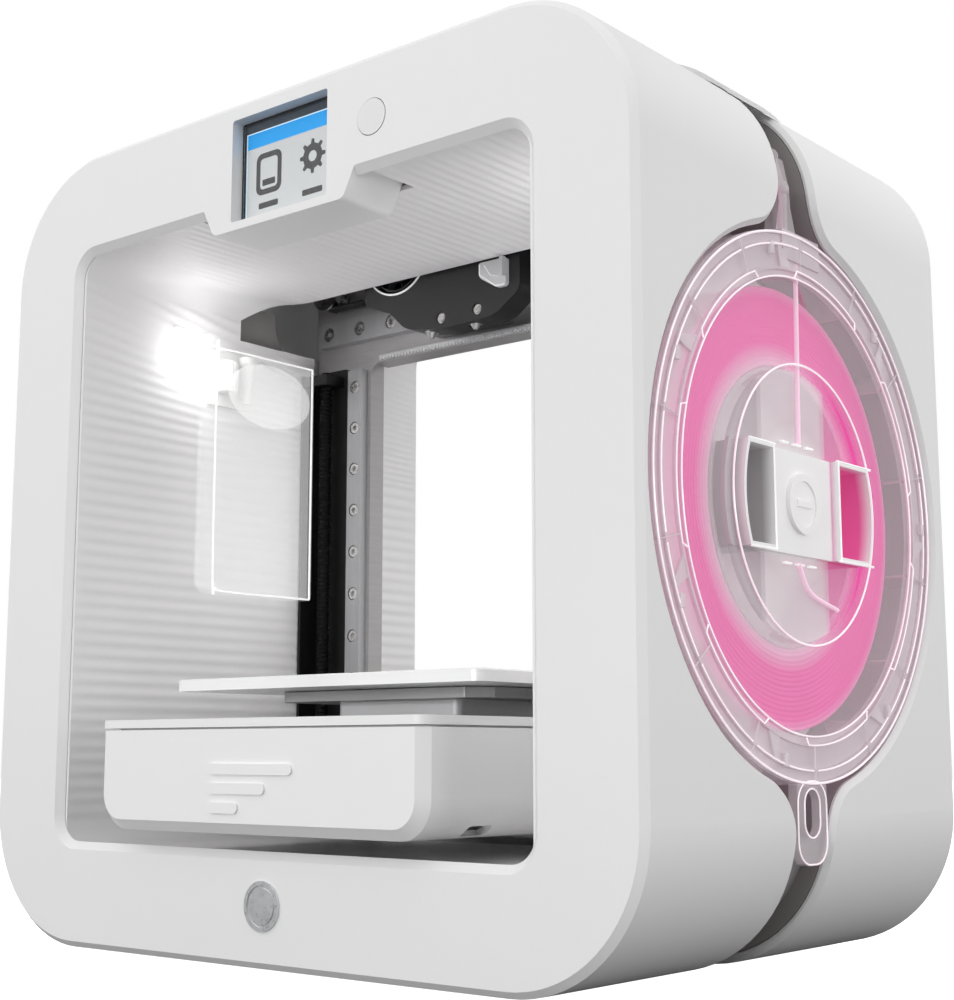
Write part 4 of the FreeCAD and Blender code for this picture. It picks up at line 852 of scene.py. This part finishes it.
bm = bmesh.new()
add_ring_plate(bm, rounded(SCREEN_LEFT, SCREEN_RIGHT, SCREEN_FOOT, SCREEN_TOP, 1.0),
               rounded(SCREEN_LEFT + 0.8, SCREEN_RIGHT - 0.5, SCREEN_FOOT + 0.5, SCREEN_TOP - 0.8, 0.6),
               PANEL_Y - 1.32, PANEL_Y - 1.28)
made(bm, "screen_gasket", "housing", drive_black, (), 20.0)

# ---- lead screws with their thread ----
THREAD_PITCH = 2.0
THREAD_DEPTH = 0.45
SCREW_CORE_R = 3.0
COUPLER_R = 5.0
COUPLER_LENGTH = 15.0


def lead_screw(name, node, body):
    """Coupler at the foot, threaded rod and turned tip."""
    lo, hi = low(node) / MM, high(node) / MM
    middle = ((lo.x + hi.x) / 2, (lo.y + hi.y) / 2)
    bm = bmesh.new()
    add_lathe(bm, (*middle, lo.z), "z", [
        (0, 0), (4.4, 0), (COUPLER_R, 0.6), (COUPLER_R, COUPLER_LENGTH - 0.6), (4.4, COUPLER_LENGTH),
        (2.4, COUPLER_LENGTH), (2.4, COUPLER_LENGTH + 1.0)], 24)
    around, step = 16, THREAD_PITCH / 6
    start, end = lo.z + COUPLER_LENGTH + 0.5, hi.z - 1.5
    rings = []
    for i in range(int((end - start) / step) + 1):
        z = start + step * i
        ring = []
        for k in range(around):
            a = 2 * math.pi * k / around
            wave = math.sin(2 * math.pi * z / THREAD_PITCH - a)
            r = SCREW_CORE_R - THREAD_DEPTH * (0.5 - 0.5 * max(-1.0, min(1.0, 1.8 * wave)))
            x, y = middle[0] + r * math.cos(a), middle[1] + r * math.sin(a)
            ring.append(bm.verts.new(Vector((x, y, z)) * MM))
        rings.append(ring)
    join_rings(bm, rings)
    add_lathe(bm, (*middle, 0), "z", [(2.3, end - 0.2), (2.3, hi.z - 0.4), (1.9, hi.z), (0, hi.z)], 16)
    made(bm, name, body, oiled_steel, (node,), 40.0)


lead_screw("lead_screw_left", "z_screw_left", "z_screw_left")
lead_screw("lead_screw_right", "z_screw_right", "z_screw_right")

# ---- toothed belt of the print head ----
BELT_PITCH = 2.0


def loop_points(x_left, x_right, z_mid, r, step):
    """Points and outward normals of a belt's centre line in the XZ plane."""
    out = []
    straight = x_right - x_left
    count, turns = int(straight / step), int(math.pi * r / step)
    for x_from, x_turn, way in ((x_left, x_right, 1), (x_right, x_left, -1)):
        out += [(x_from + way * straight * k / count, z_mid + way * r, 0.0, way) for k in range(count)]
        for k in range(turns):
            a = way * math.pi / 2 - math.pi * k / turns
            out.append((x_turn + r * math.cos(a), z_mid + r * math.sin(a), math.cos(a), math.sin(a)))
    return out


TOOTH_HEIGHT = 0.5
BELT_WEB = 0.6
belt_low, belt_high = low("x_belt") / MM, high("x_belt") / MM
belt_mid = (belt_low.z + belt_high.z) / 2
belt_r = (belt_high.z - belt_low.z) / 2
belt_line = loop_points(belt_low.x + belt_r, belt_high.x - belt_r, belt_mid, belt_r, BELT_PITCH / 4)
bm = bmesh.new()
rings = []
for index, (x, z, nx, nz) in enumerate(belt_line):
    inside = BELT_WEB + (0.0 if index % 4 in (0, 1) else TOOTH_HEIGHT)
    shape = [(belt_low.y, 0.0), (belt_high.y, 0.0), (belt_high.y, inside), (belt_low.y, inside)]
    rings.append([bm.verts.new(Vector((x - nx * inward, y, z - nz * inward)) * MM) for y, inward in shape])
join_rings(bm, rings, True)
made(bm, "toothed_x_belt", "housing", belt_rubber, ("x_belt",), 30.0)


# ---- wound filament ----
STRAND = 1.75
WOUND_INNER_R = 51.7
BUMPS = 4                  # points across one strand
SIDE_SPARE = 0.8           # the outermost turns lie this far inside the winding's faces


def winding(name, node, body, material):
    """Rings of strand on every face of the winding."""
    lo, hi = low(node) / MM, high(node) / MM
    outer_r = (hi.y - lo.y) / 2
    wraps = int((outer_r - WOUND_INNER_R) / STRAND)
    width = hi.x - lo.x - 2 * SIDE_SPARE
    turns = int(width / STRAND)

    def side_face(x_face, facing, phase):
        points = []
        for k in range(wraps):
            wobble = 0.25 * math.sin(k * 2.4 + phase)
            for b in range(BUMPS):
                sink = (1 - math.sin(math.pi * b / BUMPS)) * 0.22 + 0.1 * wobble + 0.12
                points.append((WOUND_INNER_R + STRAND * (k + b / BUMPS), x_face - facing * sink))
        return points

    across = []
    for k in range(turns):
        for b in range(BUMPS):
            drop = max((1 - math.sin(math.pi * b / BUMPS)) * 0.75 + 0.15 * math.sin(k * 1.7), 0.0)
            across.append((outer_r - 0.15 - drop, lo.x + SIDE_SPARE + width * (k + b / BUMPS) / turns))
    profile = side_face(lo.x, -1, 0) + across + list(reversed(side_face(hi.x, 1, 1)))
    bm = bmesh.new()
    add_lathe(bm, (0, (lo.y + hi.y) / 2, (lo.z + hi.z) / 2), "x", profile, 120, closed=True)
    made(bm, name, body, material, (node,), 180.0)


winding("pink_winding", "right_filament", "right_spool", wound_pink_painted_glow)
winding("white_winding", "left_filament", "left_spool", wound_white_painted_glow)


# ---- cartridges: rails, ribs, clips and strands on the covers ----
AXIS_Y = CARTRIDGE_AXIS_Y / MM
AXIS_Z = CARTRIDGE_AXIS_Z / MM
COVER_FACE = high("right_cover").x / MM - 1.3
RIB_COUNT = 14
RIB_STEP = 360.0 / RIB_COUNT
MID_RAIL_R = 94.9
STEP_RAIL_R = 86.1
INNER_RAIL_R = 83.0
RIM_R = 99.3
HUB_RING_R = 50.9
RAIL_END_R = INNER_RAIL_R + 0.6
TAIL_Y = -5.0
GUIDE_X = 161.2            # the guide tube's strand runs here
FUNNEL = [(-17.0, 262.0), (3.0, 262.0), (-0.5, 270.0), (-3.5, 279.0), (-4.0, 286.0), (-8.4, 296.0),
          (-13.6, 296.0),
          (-12.4, 286.0), (-12.0, 279.0), (-14.0, 270.0)]
FUNNEL_NEAR, FUNNEL_FAR = 158.4, 163.4
TAIL_LOOPS = ((10.2, 40.4, 69.0), (5.5, 49.5, 66.5))
TRACES = ([(0.0, 258.0), (-0.8, 228.0), (-1.7, 190.0)], [(-4.0, 146.0), (4.0, 136.0), (24.0, 131.0)])
BLOCK_FRONT, BLOCK_BACK = -25.8, 20.2  # the hub's solid middle, between its two finger pockets
BLOCK_HALF = 18.7


def on_disc(radius, angle, x, side):
    a = math.radians(angle)
    return (side * x, AXIS_Y + radius * math.cos(a), AXIS_Z + radius * math.sin(a))


def disc_arc(radius, start, end, x, side, step=3.0):
    count = max(3, int(abs(end - start) / step))
    return [on_disc(radius, start + (end - start) * k / count, x, side) for k in range(count + 1)]


def disc_rail(start, end, lead_in, run_out, x, side):
    """A rail on the inner step of the cover, whose ends turn in to the inner rail."""
    return ([on_disc(RAIL_END_R, start - lead_in, x, side)] + disc_arc(STEP_RAIL_R, start, end, x, side)
            + [on_disc(RAIL_END_R, end + run_out, x, side)])


def rails_and_ribs(side, label, body, rail_highlight_material, case_material):
    """Raised rails, spokes, gussets and clips on the rim of the cover; the rails and rims carry a painted
    highlight.
    """
    top = COVER_FACE + 1.25
    rails, ribs = bmesh.new(), bmesh.new()
    for k in range(RIB_COUNT):
        start = RIB_STEP * (k + 0.5)
        end = start + RIB_STEP
        add_sweep(rails, disc_arc(MID_RAIL_R, start + 1.0, end - 1.0, top, side), 0.34)
        spoke = [on_disc(r, start, top - 0.2, side) for r in (STEP_RAIL_R + 0.5, RIM_R - 0.6)]
        add_sweep(ribs, spoke, 0.32)
        if k % 2 == 0:
            add_sweep(rails, disc_rail(start - 3.0, end + 2.0, 1.0, 1.2, top, side), 0.32)
            continue
        gusset = [on_disc(r, start + turn, 0, 1)[1:] for r, turn in (
            (STEP_RAIL_R + 0.6, 4.5), (MID_RAIL_R - 0.6, 8.5), (MID_RAIL_R - 0.6, 10.0),
            (STEP_RAIL_R + 0.6, 9.4))]
        add_plate(ribs, gusset, side * (top - 0.9), side * (top - 0.1), "x")
        x, y, z = on_disc(MID_RAIL_R - 1.6, start + 13.0, top, side)
        add_block(ribs, (x - 0.9, y - 1.5, z - 2.4), (x + 0.7, y + 1.2, z + 2.4), 0.4)
    inner = disc_arc(INNER_RAIL_R, 0, 358, top, side, 2.0) + [on_disc(INNER_RAIL_R, 360, top, side)]
    add_sweep(rails, inner, 0.32, caps=False)
    made(rails, label + "_cover_rails", body, rail_highlight_material)
    made(ribs, label + "_cover_ribs", body, case_material)
    edge = bmesh.new()
    add_sweep(edge, disc_arc(RIM_R, 0, 360, top - 0.1, side, 2.0), 0.45, caps=False)
    add_sweep(edge, disc_arc(HUB_RING_R, 0, 360, top - 0.1, side, 3.0), 0.4, caps=False)
    made(edge, label + "_cover_rims", body, rail_highlight_material)


def hub_frames(side, label, body):
    """Edges with a painted highlight round the hub's two pockets, and short bars above and below them."""
    grip_low, grip_high = low("right_hub_grip") / MM, high("right_hub_grip") / MM
    face = grip_high.x
    edges = (AXIS_Z - BLOCK_HALF, AXIS_Z + BLOCK_HALF)
    hub = bmesh.new()
    for y0, y1 in ((grip_low.y + 9.0, BLOCK_FRONT + 0.2), (BLOCK_BACK - 0.2, grip_high.y - 0.6)):
        for z in edges:
            add_sweep(hub, [(side * (face - 0.3), y, z) for y in (y0, y1)], 0.5)
    for y in (BLOCK_FRONT - 0.75, BLOCK_BACK + 0.75):
        add_sweep(hub, [(side * (face - 0.2), y, z) for z in edges], 0.55)
    for dy in (-9.0, 0.0, 9.0):
        for up in (-1, 1):
            x, y, z = side * (COVER_FACE - 2.6), AXIS_Y - 0.3 + dy, AXIS_Z + up * (BLOCK_HALF + 3.2)
            add_block(hub, (x - 0.8, y - 2.6, z - 0.45), (x + 0.8, y + 2.6, z + 0.45), 0.3)
    made(hub, label + "_hub_frames", body, white_edge_painted_highlight)


def cover_trim(side, label, body, rail_highlight_material, case_material, haze_material, strand_material):
    """Everything that dresses one cartridge. side is 1 on the right and -1 on the left."""
    rails_and_ribs(side, label, body, rail_highlight_material, case_material)
    lead = [on_disc(81.0, 62.0, 150.0, 1), on_disc(88.0, 80.0, 156.0, 1), (160.8, -7.5, 258.0),
            (GUIDE_X, -7.5, 266.0), (GUIDE_X, -7.5, 276.0), (GUIDE_X, -7.6, 284.0), (160.9, -9.8, 291.0),
            (160.6, -12.4, 297.4)]
    strand = bmesh.new()
    add_sweep(strand, [(side * x, y, z) for x, y, z in smooth_path(lead, 6)], STRAND / 2, 8)
    made(strand, label + "_strand", body, strand_material)
    shroud = bmesh.new()
    add_plate(shroud, FUNNEL, side * FUNNEL_NEAR, side * FUNNEL_FAR, "x")
    made(shroud, label + "_guide_shroud", body, shroud_plastic)
    tail = bmesh.new()
    for reach, low_z, high_z in TAIL_LOOPS:
        loop = rounded(TAIL_Y - reach, TAIL_Y + reach, low_z, high_z, min(reach, 8.0) * 0.99, 6)
        add_sweep(tail, [(side * (COVER_FACE + 0.8), y, z) for y, z in loop + loop[:1]], 0.32, caps=False)
    made(tail, label + "_tail_rims", body, rail_highlight_material)
    # On the right cartridge the trace material gives off painted light.
    trace = bmesh.new()
    for path in TRACES:
        add_sweep(trace, smooth_path([(side * (COVER_FACE - 2.3), y, z) for y, z in path], 6), 0.9, 8)
    made(trace, label + "_trace", body, haze_material)
    hub_frames(side, label, body)


cover_trim(1, "right", "right_cartridge", pink_edge_painted_highlight, case_clear, pale_pink_painted_glow,
           filament_pink)
cover_trim(-1, "left", "left_cartridge", white_edge_painted_highlight, left_case_clear, filament_white,
           filament_white)

# ---- print head ----
fan_low, fan_high = low("head_fan") / MM, high("head_fan") / MM
fan_x, fan_z = (fan_low.x + fan_high.x) / 2 - 0.25, (fan_low.z + fan_high.z) / 2
head_front = low("head_shell").y / MM
FAN_RIM_RISE = 3.0         # the rim stands above the fan's centre
fan_centre = (fan_x, head_front, fan_z + FAN_RIM_RISE)
bm = bmesh.new()
add_lathe(bm, fan_centre, "y", [(18.9, 0.4), (18.9, -0.3), (19.3, -0.5), (19.7, -0.3), (19.8, 0.2),
                                (19.4, 0.4)],
          64, closed=True)
# The fan rim carries a painted highlight.
made(bm, "fan_rim", "print_head", white_edge_painted_highlight)
guard_y = head_front + 0.5
bm = bmesh.new()
for r in (6.0, 10.5, 14.5):
    hoop = [(r - 0.35, -0.3), (r + 0.35, -0.3), (r + 0.35, 0.3), (r - 0.35, 0.3)]
    add_lathe(bm, (fan_x, guard_y, fan_z), "y", hoop, 48, closed=True)
for k in range(4):
    a = math.radians(45 + 90 * k)
    add_sweep(bm, [(fan_x + r * math.cos(a), guard_y, fan_z + r * math.sin(a)) for r in (5.6, 16.8)], 0.35)
made(bm, "fan_guard", "print_head", fan_black)

bracket_low, bracket_high = low("sensor_bracket") / MM, high("sensor_bracket") / MM
bracket_y = head_front - 2.3
bracket_x = bracket_low.x + 0.5
bm = bmesh.new()
for radius, line in (
        (0.25, [(bracket_x, bracket_high.z - 0.8), (bracket_x, 285.0), (14.6, 278.6), (19.6, 278.6)]),
        (0.2, [(8.0, 289.0), (11.5, 284.0), (16.0, 282.5)])):
    add_sweep(bm, [(x, bracket_y, z) for x, z in line], radius)
# The bracket's edge carries a painted highlight.
made(bm, "bracket_edge", "print_head", white_edge_painted_highlight)

# ---- gantry dressing ----
RACK_Z = 266.8             # root of the teeth, which point down
RACK_HALF = 80.0
RACK_FRONT, RACK_BACK = 33.0, 34.8
RACK_PITCH = 2.0
RACK_TOOTH = 1.5
bm = bmesh.new()
for k in range(int(2 * RACK_HALF / RACK_PITCH)):
    x = -RACK_HALF + RACK_PITCH * k
    tip_z = RACK_Z - RACK_TOOTH
    add_plate(bm, [(x, RACK_Z), (x + 0.5, tip_z), (x + 1.5, tip_z), (x + RACK_PITCH, RACK_Z)], RACK_FRONT,
              RACK_BACK)
add_block(bm, (-RACK_HALF, RACK_FRONT, RACK_Z), (RACK_HALF, RACK_BACK, RACK_Z + 1.2), 0.2)
made(bm, "beam_rack", "housing", arm_metal)

# ---- waste bin and nozzle wiper ----
bin_low, bin_high = low("waste_bin") / MM, high("waste_bin") / MM
bin_front, bin_rear = bin_low.y + 0.7, bin_high.y - 0.7
bin_foot = bin_low.z + 0.6
bead_x = bin_high.x - 0.4
bead = [(bin_rear, bin_high.z), (bin_front + 5, bin_high.z), (bin_front + 1.2, bin_high.z - 1.2),
        (bin_front, bin_high.z - 5), (bin_front, bin_low.z + 8), (bin_front + 2.0, bin_low.z + 2.0),
        (bin_front + 8, bin_foot), (bin_rear, bin_foot)]
bm = bmesh.new()
add_sweep(bm, smooth_path([(bead_x, y, z) for y, z in bead], 6), 0.5)
add_sweep(bm, [(bead_x, bin_rear, bin_foot), (bead_x, bin_rear, bin_high.z)], 0.5)
# The bin's bead carries a painted highlight.
made(bm, "bin_bead", "waste_bin", white_edge_painted_highlight)

# the bin's face bulges round the wiper behind it; the bulge gives off white light, which is painted light
BULGE_Y, BULGE_Z = -10.0, 244.0
BULGE_HALF_Y, BULGE_HALF_Z = 26.0, 15.0
BULGE_DEPTH = 2.2
bulge_foot = bin_high.x + 0.05
bm = bmesh.new()
rings = []
for share in (1.0, 0.94, 0.82, 0.62, 0.36, 0.12):
    x = bulge_foot + BULGE_DEPTH * math.sqrt(1.0 - share * share)
    oval = circle(BULGE_HALF_Y * share, 40, (BULGE_Y, BULGE_Z), BULGE_HALF_Z / BULGE_HALF_Y)
    rings.append([bm.verts.new(Vector((x, y, z)) * MM) for y, z in oval])
join_rings(bm, rings)
bm.faces.new(rings[-1])
bm.faces.new(rings[0])
made(bm, "bin_bulge", "waste_bin", bin_bulge_painted_glow)

WIPER_X, WIPER_Y = -116.4, -30.0
WIPER_FOOT, WIPER_TOP = 244.5, 257.5
RIDGES = 18
ridge_points = RIDGES * 4
crests, grooves = (circle(r, ridge_points, (WIPER_X, WIPER_Y)) for r in (4.75, 4.25))
bm = bmesh.new()
knurl = [crests[k] if k % 4 in (0, 1) else grooves[k] for k in range(ridge_points)]
add_plate(bm, knurl, WIPER_FOOT, WIPER_TOP, "z")
add_lathe(bm, (WIPER_X, WIPER_Y, WIPER_TOP), "z", [(4.2, 0), (4.0, 0.8), (2.4, 1.4), (0, 1.5)], 24)
made(bm, "wiper_drum", "housing", wiper_white)
bm = bmesh.new()
spring = [(-120.5, -6.0, 263.0), (-117.0, 0.0, 259.0), (-114.0, 8.0, 255.5), (-113.0, 13.0, 250.0)]
add_sweep(bm, smooth_path(spring, 6), 0.4)
made(bm, "wiper_spring", "housing", screw_steel)

# ---- feet, base and rear screws ----
FOOT_R = 9.0
FOOT_PROFILE = [(0, 0.35), (4.6, 0.35), (4.9, 0.0), (6.4, 0.0), (6.6, 0.3), (7.2, 0.3), (7.4, 0.0),
                (8.6, 0.0),
                (FOOT_R, 0.4), (FOOT_R, 1.5), (0, 1.5)]
feet_low, feet_high = low("feet") / MM, high("feet") / MM
bm = bmesh.new()
for x in (feet_low.x + FOOT_R, feet_high.x - FOOT_R):
    for y in (feet_low.y + FOOT_R, feet_high.y - FOOT_R):
        add_lathe(bm, (x, y, 0), "z", FOOT_PROFILE, 40)
made(bm, "foot_pads", "housing", foot_rubber, ("feet",))

SCREW_HEAD = [(0, -0.5), (1.2, -0.5), (1.3, 0.1), (2.6, 0.15), (2.9, -0.1), (2.9, -0.8)]
rear_y = high("rear_liner").y / MM + 3.3
bm = bmesh.new()
for x_out, z in ((140.0, 60.0), (140.0, 276.0), (60.0, 314.0)):
    for x in (-x_out, x_out):
        add_lathe(bm, (x, rear_y, z), "y", SCREW_HEAD, 24)
made(bm, "rear_screws", "housing", screw_steel)

# ---- top cover ----
COVER_RIB_FRONT, COVER_RIB_BACK = -24.6, 14.6
cover_top = high("top_cover").z / MM
bm = bmesh.new()
for x in (-80.0, -40.0, 0.0, 40.0, 80.0):
    add_block(bm, (x - 0.7, COVER_RIB_FRONT, cover_top - 4.5), (x + 0.7, COVER_RIB_BACK, cover_top - 1.6),
              0.3)
made(bm, "cover_ribs", "top_cover", cover_frost)

# ---- floor, lights and camera ----
FLOOR_HALF = 4.0           # metres, as everything in this section is
FLOOR_GLOW = 1.2           # what the camera sees of the floor
FLOOR_BOUNCE = (0.13, 0.13, 0.13)  # what the parts get back from it
CAMERA_AT = (0.45352, -0.53195, 0.07891)
CAMERA_AIM = (-0.6340, 0.7585, 0.1509)
mesh = bpy.data.meshes.new("floor")
bm = bmesh.new()
bmesh.ops.create_grid(bm, x_segments=8, y_segments=8, size=FLOOR_HALF)
bm.to_mesh(mesh)
bm.free()
put("floor", mesh)
floor_paint, tree, shader = blank("pale floor", Roughness=0.9, Specular_IOR_Level=0.1)
seen = place(tree, "ShaderNodeLightPath").outputs["Is Camera Ray"]
tint = use(tree, MOTTLE, Color=(0.9, 0.9, 0.9), Amount=0.01, Scale=3.0)["Color"]
tree.links.new(mix_colors(tree, seen, FLOOR_BOUNCE, tint), shader.inputs["Base Color"])
shader.inputs["Emission Color"].default_value = (1.0, 1.0, 1.0, 1.0)
tree.links.new(arithmetic(tree, "MULTIPLY", seen, FLOOR_GLOW), shader.inputs["Emission Strength"])
mesh.materials.append(floor_paint)

world = bpy.data.worlds.new("studio")
bpy.context.scene.world = world
world.use_nodes = True
tree = world.node_tree
background = tree.nodes["Background"]
seen = place(tree, "ShaderNodeLightPath").outputs["Is Camera Ray"]
tree.links.new(mix_colors(tree, seen, (0.80, 0.80, 0.80), (1.0, 1.0, 1.0)), background.inputs["Color"])


def soft_box(name, location, target, size, energy):
    data = bpy.data.lights.new(name, "AREA")
    data.shape = "RECTANGLE"
    data.size, data.size_y = size
    data.energy = energy
    lamp = put(name, data)
    lamp.location = location
    lamp.rotation_euler = (Vector(target) - Vector(location)).to_track_quat("-Z", "Y").to_euler()
    lamp.visible_camera = False


CENTRE = (0.0, 0.0, 0.17)
soft_box("front_soft_box", (-0.9, -1.6, 1.5), CENTRE, (1.6, 1.2), 5.0)
soft_box("low_soft_box", (-0.3, -2.5, 0.05), (0.0, 0.0, 0.08), (2.4, 0.8), 40.0)
soft_box("right_soft_box", (2.2, 0.4, 0.12), CENTRE, (1.8, 0.6), 19.0)
soft_box("rear_soft_box", (0.4, 1.6, 1.0), CENTRE, (1.6, 1.2), 1.4)


def point_lamp(name, location, energy, radius):
    data = bpy.data.lights.new(name, "POINT")
    data.energy = energy
    data.shadow_soft_size = radius
    lamp = put(name, data)
    lamp.location = location
    lamp.visible_camera = False
    lamp.visible_glossy = False


for side in (-1, 1):
    point_lamp("chamber_lamp", (side * 0.110, -0.049, 0.257), 0.02, 0.006)
point_lamp("chamber_fill", (0.04, 0.01, 0.15), 0.14, 0.05)
point_lamp("side_fill", (0.108, -0.06, 0.15), 0.03, 0.03)

camera_data = bpy.data.cameras.new("camera")
camera_data.lens = 59.6
camera_data.sensor_width = 36.0
camera_data.clip_start = 0.01
camera = put("camera", camera_data)
camera.location = CAMERA_AT
camera.rotation_euler = Vector(CAMERA_AIM).to_track_quat("-Z", "Y").to_euler()
bpy.context.scene.camera = camera
bpy.context.scene.view_settings.view_transform = "Standard"
